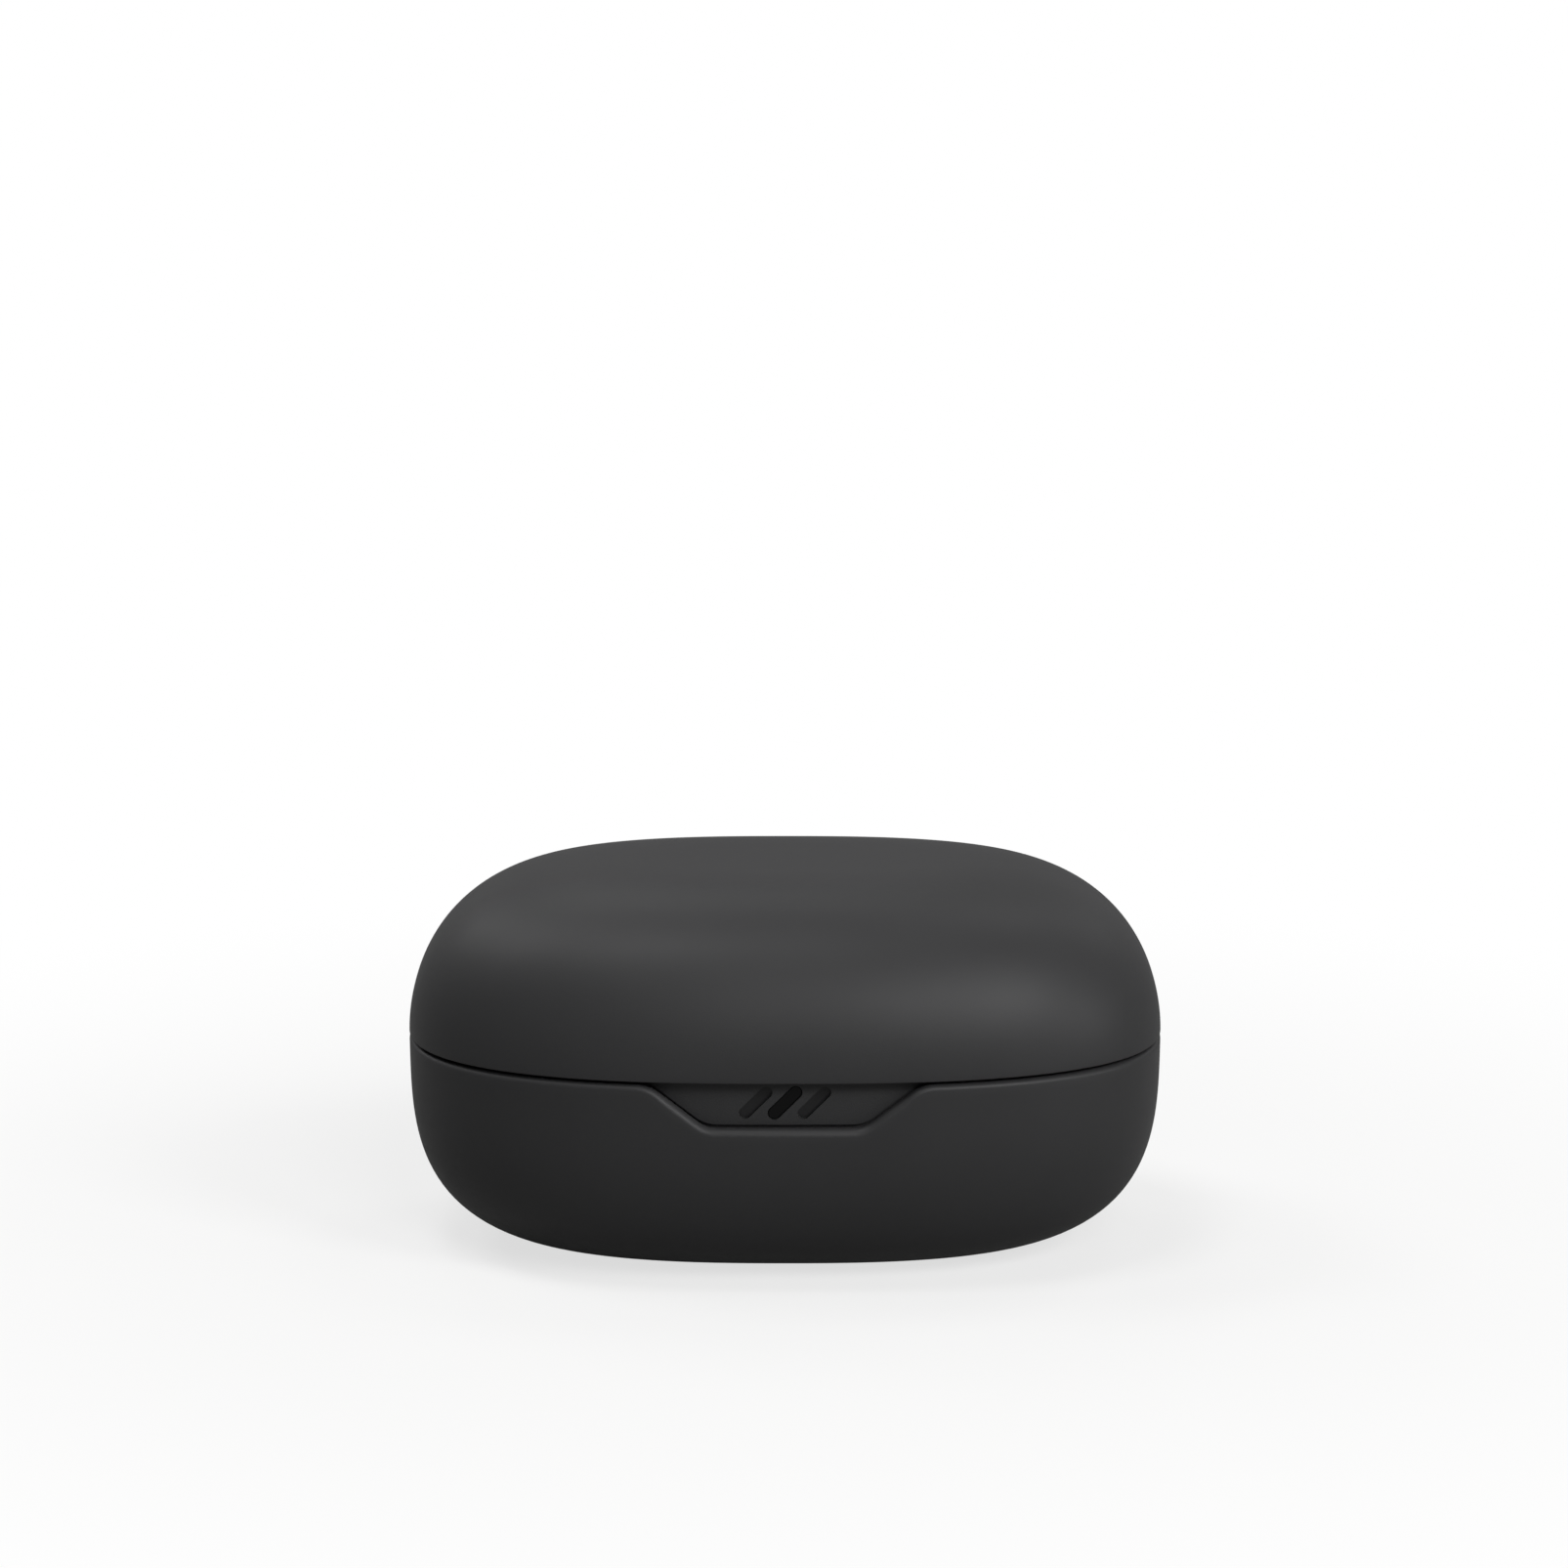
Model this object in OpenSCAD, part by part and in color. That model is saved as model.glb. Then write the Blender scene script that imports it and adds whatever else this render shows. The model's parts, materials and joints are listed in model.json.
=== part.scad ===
// Pocket charging case for a pair of wireless earbuds, with a hinged lid.
// Frame: origin at the middle of the flat underside, +X to the right, +Y to the hinge, +Z up.
// The lid is shut. All sizes are in millimetres.

/* [Case body] */
// Overall width, left to right
case_w = 62; // [60:0.5:68]
// Overall depth, front to back
case_d = 41; // [40:0.5:46]
// Overall height with the lid shut
case_h = 31.8; // [31:0.1:36]
// Height of the seam between base and lid
seam_z = 17.6; // [17.2:0.1:19.5]
// Open gap of the seam
seam_gap = 0.35; // [0.2:0.05:0.5]
// Squareness of the outline, where 2 is an ellipse
plan_power = 2.6; // [2.5:0.05:3]
// Wall of both shells at the seam
wall = 1.3; // [1.1:0.1:1.5]
// Rounding of the base's outer edge at the seam
base_edge_r = 0.45; // [0.2:0.05:0.6]
// Rounding of the lid's outer edge at the seam
lid_edge_r = 0.25; // [0.15:0.05:0.6]

/* [Base shell] */
// How far the base's round reaches in from the ends
base_round_x = 18; // [15:0.5:20]
// How far the base's round reaches in from front and back
base_round_y = 14.5; // [12:0.5:16]
// Draft of the base's sides over their whole height
base_draft = 0.23; // [0:0.01:0.4]
// Fullness of the base's side, up the height
base_power_z = 3.4; // [2.8:0.1:4]
// Fullness of the base's side, across the width
base_power_r = 2.56; // [2.2:0.02:3]
// Thickness of the base's floor
floor_t = 1.4; // [1.2:0.1:2]
// Wall of the base below the ledge that carries the tray
low_wall = 2.3; // [2:0.1:2.5]
// Depth of that ledge below the seam
ledge_drop = 5; // [4.4:0.1:5.6]

/* [Lid] */
// How far the lid's round reaches in from the ends
lid_round_x = 19.8; // [17:0.2:22]
// How far the lid's round reaches in from front and back
lid_round_y = 16.2; // [13:0.2:17]
// Fullness of the lid's side, up the height
lid_power_z = 2; // [1.8:0.05:2.4]
// Fullness of the lid's side, across the width
lid_power_r = 2.84; // [2.5:0.02:3.2]
// Thickness of the lid shell at its top
roof_t = 1.4; // [1.2:0.1:2]
// Width of the liner's flat flange at the front, outside its dome
flange_w = 5.2; // [5:0.1:5.8]
// Thickness of the liner's flange
flange_t = 1; // [0.8:0.1:1.4]
// Wall of the liner's dome
liner_t = 0.9; // [0.7:0.1:1.2]
// How far the liner's round reaches in from its ends
liner_round_x = 17; // [14:0.5:19]
// How far the liner's round reaches in from front and back
liner_round_y = 11; // [9:0.5:12]

/* [Thumb notch and light] */
// Width of the notch at the seam
notch_w = 23; // [20:0.5:26]
// Width of the notch at its bottom
notch_floor_w = 12.8; // [11:0.2:15]
// Depth of the notch below the lid's edge
notch_drop = 3.85; // [3.5:0.05:4.2]
// Rounding of the notch's corners
notch_r = 2.8; // [1:0.1:3.2]
// Width of the shadow groove round the panel in the notch
groove_w = 0.1; // [0.06:0.02:0.3]
// Depth of the shadow groove
groove_depth = 0.35; // [0.2:0.05:0.6]
// Spacing of the three slanted slots
slot_pitch = 2.35; // [2:0.05:2.8]
// Slant of the slots from level
slot_slant = 45; // [35:1:55]
// Length of a slot between the centres of its round ends
slot_l = 2.4; // [1.8:0.05:2.6]
// Width of the middle slot, which holds the light guide
lens_w = 1.08; // [0.9:0.02:1.14]
// Width of the two blind slots
slot_w = 0.98; // [0.8:0.02:1.04]
// Depth of the blind slots
slot_depth = 0.5; // [0.3:0.05:0.7]
// Height of the slots' middle below the lid's edge
slot_drop = 1.94; // [1.8:0.02:2.1]
// Set-back of the light guide's face from the panel
lens_recess = 0.12; // [0.05:0.01:0.3]

/* [Tray] */
// Gap between the tray and the base shell
tray_fit = 0.12; // [0.08:0.01:0.2]
// Gap between the tray's lip and the lid
lip_fit = 0.3; // [0.25:0.05:0.4]
// Wall of the tray's skirt and lip
skirt_t = 1.1; // [0.9:0.1:1.3]
// Height of the deck's top above the seam
deck_rise = 0.6; // [0.4:0.1:0.8]
// Thickness of the deck
deck_t = 1.2; // [1:0.1:1.4]
// Height of the lip above the deck
lip_h = 0.6; // [0.4:0.1:0.9]
// Distance of each well's middle from the centre line
well_x = 14.5; // [14:0.1:15]
// Distance of each well's middle behind the centre line
well_y = 2.5; // [1.5:0.1:3]
// Radius of the well for the earbud's body
well_r = 7.6; // [7:0.1:8]
// Rounding at the foot of the well
well_foot_r = 2.6; // [1.5:0.1:3]
// Length of the stem slot from the well's middle
stem_l = 15.2; // [14:0.1:15.6]
// Turn of the stem slot from the front towards the centre line
stem_turn = 27.4; // [24:0.2:30]
// Radius of the stem slot's round end
stem_r = 3.3; // [3:0.1:3.5]
// Height of the stem slot's floor above the well's floor
stem_rise = 2.9; // [2.6:0.1:3.5]
// Wall of the wells
well_t = 1; // [0.8:0.1:1.1]

/* [Hinge] */
// Radius of the hinge barrel
barrel_r = 1.5; // [1.4:0.05:1.7]
// Radius of the hinge pin
pin_r = 0.5; // [0.4:0.05:0.6]
// Radial clearance of the pin in its bores
pin_fit = 0.05; // [0.02:0.01:0.08]
// Length of the whole hinge
hinge_l = 22; // [20:0.5:24]
// Length of the lid's knuckle
knuckle_l = 15; // [12:0.5:16]
// Gap between knuckles, and around the barrel
hinge_gap = 0.2; // [0.15:0.05:0.3]
// Angle to which the lid opens
lid_open = 95; // [85:1:100]

/* [Electronics] */
// Thickness of the foam under the battery
pad_t = 1.4; // [1.3:0.1:1.8]
// Length of the battery
battery_l = 34; // [30:0.5:34.5]
// Width of the battery
battery_w = 18; // [16:0.5:18.5]
// Thickness of the battery
battery_t = 3.4; // [3:0.1:3.6]
// Gap between battery and board
board_gap = 0.4; // [0.3:0.05:0.6]
// Thickness of the circuit board
board_t = 0.8; // [0.6:0.1:1]
// Gap between the board and the wells above it
well_gap = 0.6; // [0.5:0.05:0.8]
// Height of the receptacle's shell
usb_h = 3.26; // [3.1:0.02:3.3]
// Width of the receptacle's shell
usb_w = 8.94; // [8.8:0.02:9]
// Length of the receptacle's shell
usb_l = 7.35; // [6.5:0.05:8]
// Sheet thickness of the receptacle's shell
usb_t = 0.3; // [0.2:0.02:0.35]
// Gap between the receptacle and its hole in the base
port_fit = 0.22; // [0.15:0.01:0.3]
// Set-back of the receptacle's mouth from the base's surface
port_recess = 0.7; // [0.4:0.05:1]
// Spacing of the two charging contacts in a well
contact_pitch = 4; // [3.4:0.1:5]
// Radius of a contact's plunger
plunger_r = 0.45; // [0.4:0.01:0.5]
// Height that a plunger stands above the well's floor
plunger_rise = 1.2; // [1:0.05:1.4]
// Travel of a plunger
plunger_travel = 0.9; // [0.6:0.05:0.95]
// Radius of a contact's barrel
contact_r = 0.75; // [0.7:0.01:0.85]
// Length of a lid catch magnet
magnet_l = 6; // [5:0.1:6.4]
// Width of a lid catch magnet
magnet_w = 2.4; // [2:0.05:2.4]
// Thickness of a lid catch magnet
magnet_t = 1.6; // [1.2:0.1:1.8]
// Distance of the catch magnets from the centre line
magnet_x = 16; // [15.5:0.1:16.5]
// Radius of an earbud magnet
bud_magnet_r = 2; // [1.6:0.1:2.3]
// Thickness of an earbud magnet
bud_magnet_t = 1.5; // [1:0.1:1.6]

/* [Hidden] */
$fn = 48;

// Finishes
shell_black = "#2b2b2c";
tray_black = "#242425";
lens_black = "#0c0c0d";
board_green = "#1d4a33";
chip_black = "#18181a";
steel = "#b9bcc0";
gold = "#d9b44a";
foil = "#a9adb3";
foam_grey = "#5a5a5c";
copper = "#b8653a";
lead_red = "#b3241f";

// Facets of the pebble-shaped shells
outline_n = 72;
side_steps = 11;
// Overlap of united pieces, reach of a cut past a face, and gap of a seat
touch = 0.01;
over = 1;
seat_gap = 0.05;

// Heights, from the underside up
half_w = case_w / 2;
half_d = case_d / 2;
lid_z = seam_z + seam_gap;
ledge_z = seam_z - ledge_drop;
battery_z = floor_t + pad_t;
board_z = battery_z + battery_t + board_gap;
board_top = board_z + board_t;
cup_z = board_top + well_gap;
well_z = cup_z + well_t;
stem_z = well_z + stem_rise;
deck_z = seam_z + deck_rise;
deck_under = deck_z - deck_t;
lip_z = deck_z + lip_h;
flange_z = lip_z + lip_fit;
roof_z = case_h - roof_t;

// Insets from the outline
tray_in = wall + tray_fit;
lip_in = wall + lip_fit;
dome_in = wall + flange_w;

// Hinge
hinge_y = half_d - barrel_r;
hinge_z = seam_z;
pin_bore_r = pin_r + pin_fit;
half_hinge = hinge_l / 2;
half_knuckle = knuckle_l / 2;
swing = cos(lid_open / 2);
barrel_clear = barrel_r + hinge_gap;
lid_barrel_clear = barrel_r / swing + hinge_gap;
arm_l = 2.6;
arm_back = 0.45;
relief_l = 6;

// Thumb notch and slots, on the front panel
notch_z = lid_z - notch_drop;
panel_y = -(half_d - tray_in);
panel_back = panel_y + 0.9 * skirt_t;
groove_hidden = 0.4;
slot_z = lid_z - slot_drop;
lens_flange_t = 0.6;
lens_flange_w = 3.2;
lens_flange_y = panel_y + skirt_t + seat_gap;
led_size = [1.6, 0.7, 0.8];
led_y = lens_flange_y + lens_flange_t + seat_gap;
led_board_size = [8, 0.6, 3.4];
led_board_y = led_y + led_size[1];
led_board_z = deck_under - seat_gap - led_board_size[2];
led_rail_w = 0.8;
flex_t = 0.2;
flex_w = 3;
flex_lap = 2;

// Battery, set a little to the front, its leads and the foam under it
battery_shift = 1;
lead_bend = 0.9;
pad_l = 14;
pad_w = 5;

// Board outline, its screws and what stands on it
board_front = -13;
board_shoulder = 11;
board_tail_half = 9.4;
board_corner = 3;
board_overhang = 3.2;
boss_r = 1.6;
boss_gap = 0.5;
screw_r = 0.5;
screw_head_r = 1;
screw_head_t = 0.4;
screw_l = 5;
thread_fit = 0.05;
front_screw = [battery_l / 2 + screw_head_r + lead_bend, -8];
back_screw = [usb_w / 2 + boss_gap + boss_r, battery_w / 2 - battery_shift + screw_head_r + boss_gap];
board_half_w = front_screw[0] + boss_r;
screw_places = [for (side = [-1, 1], p = [front_screw, back_screw]) [side * p[0], p[1]]];
usb_z = board_top + usb_h / 2;
usb_mouth = half_d - port_recess;
board_back = usb_mouth - board_overhang;
tongue_w = 6.7;
tongue_t = 0.7;
tongue_recess = 1;
chip_size = [5, 5, 0.5];
chip_place = [0, 2];
inductor_size = [3, 3, 1.4];
inductor_place = [0, -4];
hall_size = [2.9, 1.6, 1];
hall_place = [0, -10];
lead_r = 0.4;
lead_gap = 3;

// Magnets: each catch magnet lies along the inside of the tray's skirt
magnet_gap = 0.25;
skirt_in = tray_in + skirt_t;
magnet_near = outline_y(magnet_x - magnet_l / 2, skirt_in);
magnet_far = outline_y(magnet_x + magnet_l / 2, skirt_in);
magnet_turn = atan2(magnet_near - magnet_far, magnet_l);
magnet_y = (magnet_near + magnet_far) / 2 - (magnet_w / 2 + magnet_gap) / cos(magnet_turn);
sensor_magnet_r = 1.5;
sensor_magnet_t = 1.4;
bud_magnet_along = well_r + well_t + bud_magnet_r + magnet_gap;

// Charging contacts
contact_fit = 0.05;
contact_stand = 0.2;
contact_floor = 0.3;

function signed_power(v, p) = sign(v) * pow(abs(v), p);

// Points of a rounded outline with half sizes a and b at height z.
function outline(a, b, z) = [
    for (i = [0 : outline_n - 1])
        let (turn = 360 * i / outline_n)
            [a * signed_power(cos(turn), 2 / plan_power), b * signed_power(sin(turn), 2 / plan_power), z]
];

// Share of a rounded side's height and reach at step i, from the seam to the flat.
function side_height(i, power_z) = pow(sin(90 * i / side_steps), 2 / power_z);
function side_reach(i, power_r) = i == side_steps ? 1 : 1 - pow(cos(90 * i / side_steps), 2 / power_r);

// One ring of a side that starts at half sizes a and b at height z0 and ends flat at height z1.
function side_ring(i, a, b, z0, z1, round_x, round_y, power_z, power_r, draft = 0) =
    let (h = side_height(i, power_z), g = side_reach(i, power_r))
        [a - round_x * g - draft * h, b - round_y * g - draft * h, z0 + (z1 - z0) * h];

function base_ring(i, inset, z0, z1, draft) =
    side_ring(i, half_w - inset, half_d - inset, z0, z1, base_round_x, base_round_y,
        base_power_z, base_power_r, draft);

function lid_ring(i, inset, z1) =
    side_ring(i, half_w - inset, half_d - inset, lid_z, z1, lid_round_x, lid_round_y,
        lid_power_z, lid_power_r);

// How far the lid's inner wall has come in at height z, as a share of its round.
function lid_reach(z) =
    1 - pow(1 - pow((z - lid_z) / (roof_z - lid_z), lid_power_z), 1 / lid_power_r);

function dome_ring(i, inset, z1) =
    side_ring(i, half_w - inset, half_d - inset, flange_z, z1, liner_round_x, liner_round_y,
        lid_power_z, lid_power_r);

// Rings of a quarter-round outer edge at height z, from the side to the edge's flat.
// The edge faces up where away is 1, and down where it is -1.
function edge_rings(z, r, away) = [
    for (turn = [0, 45, 90])
        let (inset = r * (1 - cos(turn)))
            [half_w - inset, half_d - inset, z - away * r * (1 - sin(turn))]
];

function reversed(list) = [for (i = [len(list) - 1 : -1 : 0]) list[i]];

// Half depth of the outline, drawn in by inset, at a distance x from the centre line.
function outline_y(x, inset) =
    (half_d - inset) * pow(1 - pow(abs(x) / (half_w - inset), plan_power), 1 / plan_power);

// A closed skin through rings of [half width, half depth, height], first and last ring flat.
module loft(rings) {
    n = outline_n;
    last = n * (len(rings) - 1);
    polyhedron(
        points = [for (r = rings) each outline(r[0], r[1], r[2])],
        faces = concat(
            [[for (i = [n - 1 : -1 : 0]) i]],
            [[for (i = [0 : n - 1]) last + i]],
            [for (k = [0 : len(rings) - 2], i = [0 : n - 1], upper = [true, false])
                let (j = (i + 1) % n, near = n * k, far = n * (k + 1))
                    upper ? [near + i, near + j, far + j] : [near + i, far + j, far + i]]
        )
    );
}

// Upright plate with the case's outline, drawn in by inset.
module outline_plate(inset, z, h) {
    translate([0, 0, z])
        linear_extrude(h)
            polygon([for (p = outline(half_w - inset, half_d - inset, 0)) [p[0], p[1]]]);
}

// Bar along X between x0 and x1.
module x_bar(r, x0, x1, y, z) {
    translate([x0, y, z])
        rotate([0, 90, 0])
            cylinder(r = r, h = x1 - x0);
}

// Flat slot between two round ends, centred, along X.
module stadium(l, w) {
    square([l, w], center = true);
    for (side = [-1, 1])
        translate([side * l / 2, 0])
            circle(d = w);
}

module both_sides() {
    for (side = [0, 1])
        mirror([side, 0, 0])
            children();
}

// Turns a drawing in X and Z, seen from the front, into a slab from y0 to y1.
module front_slab(y0, y1) {
    translate([0, y1, 0])
        rotate([90, 0, 0])
            linear_extrude(y1 - y0)
                children();
}

// Trapezium of the thumb notch with rounded lower corners, seen from the front.
module notch_outline() {
    top = notch_w / 2;
    foot = notch_floor_w / 2;
    slope = atan2(notch_drop, top - foot);
    centre_x = foot - notch_r * tan(slope / 2);
    tangent = [centre_x + notch_r * sin(slope), notch_z + notch_r * (1 - cos(slope))];
    polygon([
        [-centre_x, notch_z], [centre_x, notch_z], tangent, [top, lid_z],
        [-top, lid_z], [-tangent[0], tangent[1]]
    ]);
    for (side = [-1, 1])
        translate([side * centre_x, notch_z + notch_r])
            circle(notch_r);
}

// Groove along the foot and the slopes of the notch, part of it hidden behind the base's lip.
module panel_groove() {
    difference() {
        front_slab(-half_d, panel_back)
            difference() {
                intersection() {
                    offset(delta = groove_hidden)
                        notch_outline();
                    translate([-notch_w, 0])
                        square([2 * notch_w, seam_z]);
                }
                translate([0, groove_w])
                    notch_outline();
            }
        outline_plate(tray_in + groove_depth, ledge_z, lid_z - ledge_z);
    }
}

module slanted_slot(k, w) {
    translate([k * slot_pitch, slot_z])
        rotate(slot_slant)
            stadium(slot_l, w);
}

// Round the opening of the receptacle, seen from behind.
module usb_outline(grow) {
    stadium(usb_w - usb_h, usb_h + 2 * grow);
}

module usb_slab(grow, y0, y1) {
    translate([0, 0, usb_z])
        front_slab(y0, y1)
            usb_outline(grow);
}

// Floor plan of the stem slot on the right-hand side.
module stem_plan(r) {
    translate([well_x, well_y])
        rotate(-90 - stem_turn)
            union() {
                translate([0, -r])
                    square([stem_l, 2 * r]);
                translate([stem_l, 0])
                    circle(r);
            }
}

module well_pocket() {
    deep = deck_z - well_z + touch;
    translate([well_x, well_y, well_z])
        rotate_extrude()
            union() {
                translate([0, well_foot_r])
                    square([well_r, deep - well_foot_r]);
                square([well_r - well_foot_r, deep]);
                intersection() {
                    translate([well_r - well_foot_r, well_foot_r])
                        circle(well_foot_r);
                    square([well_r, deep]);
                }
            }
}

module base_shell() {
    inner = [for (i = [side_steps : -1 : 0]) base_ring(i, low_wall, ledge_z, floor_t, 0)];
    seat = [
        [half_w - wall, half_d - wall, ledge_z],
        [half_w - wall, half_d - wall, seam_z]
    ];
    outer = [for (i = [1 : side_steps]) base_ring(i, 0, seam_z, 0, base_draft)];
    color(shell_black)
        difference() {
            loft(concat(inner, seat, reversed(edge_rings(seam_z, base_edge_r, 1)), outer));
            front_slab(-half_d - over, panel_back)
                notch_outline();
            x_bar(barrel_clear, -half_hinge - hinge_gap, half_hinge + hinge_gap, hinge_y, hinge_z);
            usb_slab(port_fit, usb_mouth - usb_l, half_d + over);
        }
}

module tray_solid() {
    difference() {
        outline_plate(tray_in, ledge_z, seam_z - ledge_z);
        outline_plate(skirt_in, ledge_z - over, deck_under - ledge_z + over);
    }
    difference() {
        outline_plate(lip_in, seam_z - touch, lip_z - seam_z + touch);
        outline_plate(lip_in + skirt_t, deck_z, lip_h + over);
    }
    both_sides() {
        translate([well_x, well_y, cup_z])
            cylinder(r = well_r + well_t, h = deck_z - cup_z - touch);
        translate([0, 0, stem_z - well_t])
            linear_extrude(deck_z - stem_z + well_t - touch)
                stem_plan(stem_r + well_t);
        led_rail();
    }
    for (p = screw_places)
        translate([p[0], p[1], board_top])
            cylinder(r = boss_r, h = deck_z - board_top - touch);
}

module led_rail() {
    start = panel_y + skirt_t / 2;
    translate([led_board_size[0] / 2 + seat_gap, start, led_board_z])
        cube([led_rail_w, led_board_y + led_board_size[1] - start, deck_z - led_board_z - touch]);
}

module tray_lugs() {
    inner_end = half_knuckle + hinge_gap;
    both_sides()
        difference() {
            intersection() {
                union() {
                    x_bar(barrel_r, inner_end, half_hinge, hinge_y, hinge_z);
                    translate([inner_end, hinge_y - arm_l - 2 * hinge_gap, deck_under])
                        cube([half_hinge - inner_end, arm_l + 2 * hinge_gap, deck_z - deck_under]);
                }
                outline_plate(0, hinge_z - half_d, case_d);
            }
            x_bar(pin_bore_r, 0, half_hinge + over, hinge_y, hinge_z);
        }
}

module cradle_tray() {
    color(tray_black) {
        difference() {
            tray_solid();
            both_sides() {
                well_pocket();
                translate([0, 0, stem_z])
                    linear_extrude(lip_z - stem_z + over)
                        stem_plan(stem_r);
                for (k = [-1, 1])
                    translate([well_x + k * contact_pitch / 2, well_y, cup_z - over])
                        cylinder(r = contact_r + contact_fit, h = well_t + 2 * over);
            }
            for (p = screw_places)
                translate([p[0], p[1], board_top - over])
                    cylinder(r = screw_r + thread_fit, h = screw_l + over);
            for (k = [-1, 1])
                front_slab(panel_y - over, panel_y + slot_depth)
                    slanted_slot(k, slot_w);
            front_slab(panel_y - over, lens_flange_y)
                slanted_slot(0, lens_w);
            panel_groove();
            hinge_room();
        }
        tray_lugs();
    }
}

// Room in the tray for the lid's knuckle and its arm, and for the two lugs.
module hinge_room() {
    x_bar(barrel_clear, -half_hinge - hinge_gap, half_hinge + hinge_gap, hinge_y, hinge_z);
    translate([-half_hinge - hinge_gap, hinge_y - arm_l - hinge_gap, deck_z])
        cube([hinge_l + 2 * hinge_gap, half_d, lip_z]);
    translate([-half_knuckle - hinge_gap, hinge_y - arm_l - hinge_gap, hinge_z - barrel_clear])
        cube([knuckle_l + 2 * hinge_gap, half_d, lip_z]);
}

module light_guide() {
    color(lens_black) {
        front_slab(panel_y + lens_recess, lens_flange_y)
            slanted_slot(0, lens_w - 2 * seat_gap);
        front_slab(lens_flange_y - touch, lens_flange_y + lens_flange_t)
            translate([-lens_flange_w / 2, led_board_z])
                square([lens_flange_w, led_board_size[2]]);
    }
}

module indicator_led() {
    color("ivory")
        translate([-led_size[0] / 2, led_y, led_board_z + (led_board_size[2] - led_size[2]) / 2])
            cube(led_size);
}

module led_board() {
    color(board_green)
        translate([-led_board_size[0] / 2, led_board_y, led_board_z])
            cube(led_board_size);
}

// Thin strip from the back of the light's board down to the main board.
module led_flex() {
    back = led_board_y + led_board_size[1];
    foot = board_front + flex_lap;
    color(copper) {
        translate([-flex_w / 2, back, board_top])
            cube([flex_w, flex_t, led_board_z + led_board_size[2] / 2 - board_top]);
        translate([-flex_w / 2, back, board_top])
            cube([flex_w, foot - back, flex_t]);
    }
}

module main_board() {
    color(board_green)
        translate([0, 0, board_z])
            linear_extrude(board_t)
                difference() {
                    both_sides()
                        polygon([
                            [0, board_front], [board_half_w - board_corner, board_front],
                            [board_half_w, board_front + board_corner],
                            [board_half_w, board_shoulder - board_corner],
                            [board_half_w - board_corner, board_shoulder],
                            [board_tail_half, board_shoulder], [board_tail_half, board_back], [0, board_back]
                        ]);
                    for (p = screw_places)
                        translate(p)
                            circle(screw_r + 2 * thread_fit);
                }
}

module usb_shell() {
    color(steel)
        difference() {
            usb_slab(0, usb_mouth - usb_l, usb_mouth);
            usb_slab(-usb_t, usb_mouth - usb_l + usb_t, usb_mouth + over);
        }
}

module usb_tongue() {
    color(chip_black)
        translate([-tongue_w / 2, usb_mouth - usb_l + usb_t, usb_z - tongue_t / 2])
            cube([tongue_w, usb_l - usb_t - tongue_recess, tongue_t]);
}

module on_board(place, size) {
    translate([place[0] - size[0] / 2, place[1] - size[1] / 2, board_top])
        cube(size);
}

module charge_chip() {
    color(chip_black)
        on_board(chip_place, chip_size);
}

module power_inductor() {
    color(foam_grey)
        on_board(inductor_place, inductor_size);
}

module hall_sensor() {
    color(chip_black)
        on_board(hall_place, hall_size);
}

module battery_cell() {
    color(foil)
        translate([-battery_l / 2, -battery_w / 2 - battery_shift, battery_z])
            cube([battery_l, battery_w, battery_t]);
}

module battery_pad() {
    color(foam_grey)
        translate([-pad_l / 2, -pad_w / 2, floor_t])
            cube([pad_l, pad_w, pad_t]);
}

// Two short leads that bend up from the battery's end to the underside of the board.
module battery_leads() {
    color(lead_red)
        for (side = [-1, 1])
            translate([battery_l / 2, side * lead_gap / 2 - battery_shift, board_z])
                rotate([90, 0, 0])
                    rotate_extrude(angle = 90, start = 270)
                        translate([lead_bend, 0])
                            circle(lead_r);
}

module board_screws() {
    color(steel)
        for (p = screw_places)
            translate([p[0], p[1], board_z]) {
                translate([0, 0, -screw_head_t])
                    cylinder(r = screw_head_r, h = screw_head_t);
                translate([0, 0, -touch])
                    cylinder(r = screw_r, h = screw_l);
            }
}

module catch_magnet(z) {
    translate([magnet_x, -magnet_y, z])
        rotate(magnet_turn)
            translate([-magnet_l / 2, -magnet_w / 2, 0])
                cube([magnet_l, magnet_w, magnet_t]);
}

module tray_magnets() {
    color(steel)
        both_sides()
            catch_magnet(deck_under - magnet_t);
}

module lid_magnets() {
    color(steel)
        both_sides()
            catch_magnet(flange_z + flange_t);
}

module earbud_magnets() {
    color(steel)
        both_sides()
            translate([well_x, well_y, stem_z - well_t - bud_magnet_t])
                rotate(-90 - stem_turn)
                    translate([bud_magnet_along, 0, 0])
                        cylinder(r = bud_magnet_r, h = bud_magnet_t);
}

module sensor_magnet() {
    color(steel)
        translate([0, -(half_d - wall - flange_w / 2), flange_z + flange_t])
            cylinder(r = sensor_magnet_r, h = sensor_magnet_t);
}

module contact_barrels() {
    color(gold)
        both_sides()
            for (k = [-1, 1])
                translate([well_x + k * contact_pitch / 2, well_y, board_top])
                    difference() {
                        cylinder(r = contact_r, h = well_z + contact_stand - board_top);
                        translate([0, 0, contact_floor])
                            cylinder(r = plunger_r + contact_fit, h = well_z);
                    }
}

// Plunger that slides in a contact's barrel, with a round tip.
module contact_plunger(x) {
    foot = board_top + contact_floor + plunger_travel + contact_fit;
    tip = well_z + plunger_rise - plunger_r;
    color(gold)
        translate([x, well_y, 0]) {
            translate([0, 0, foot])
                cylinder(r = plunger_r, h = tip - foot);
            translate([0, 0, tip])
                sphere(plunger_r);
        }
}

module contact_left_outer() { contact_plunger(-well_x - contact_pitch / 2); }
module contact_left_inner() { contact_plunger(-well_x + contact_pitch / 2); }
module contact_right_inner() { contact_plunger(well_x - contact_pitch / 2); }
module contact_right_outer() { contact_plunger(well_x + contact_pitch / 2); }

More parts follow.
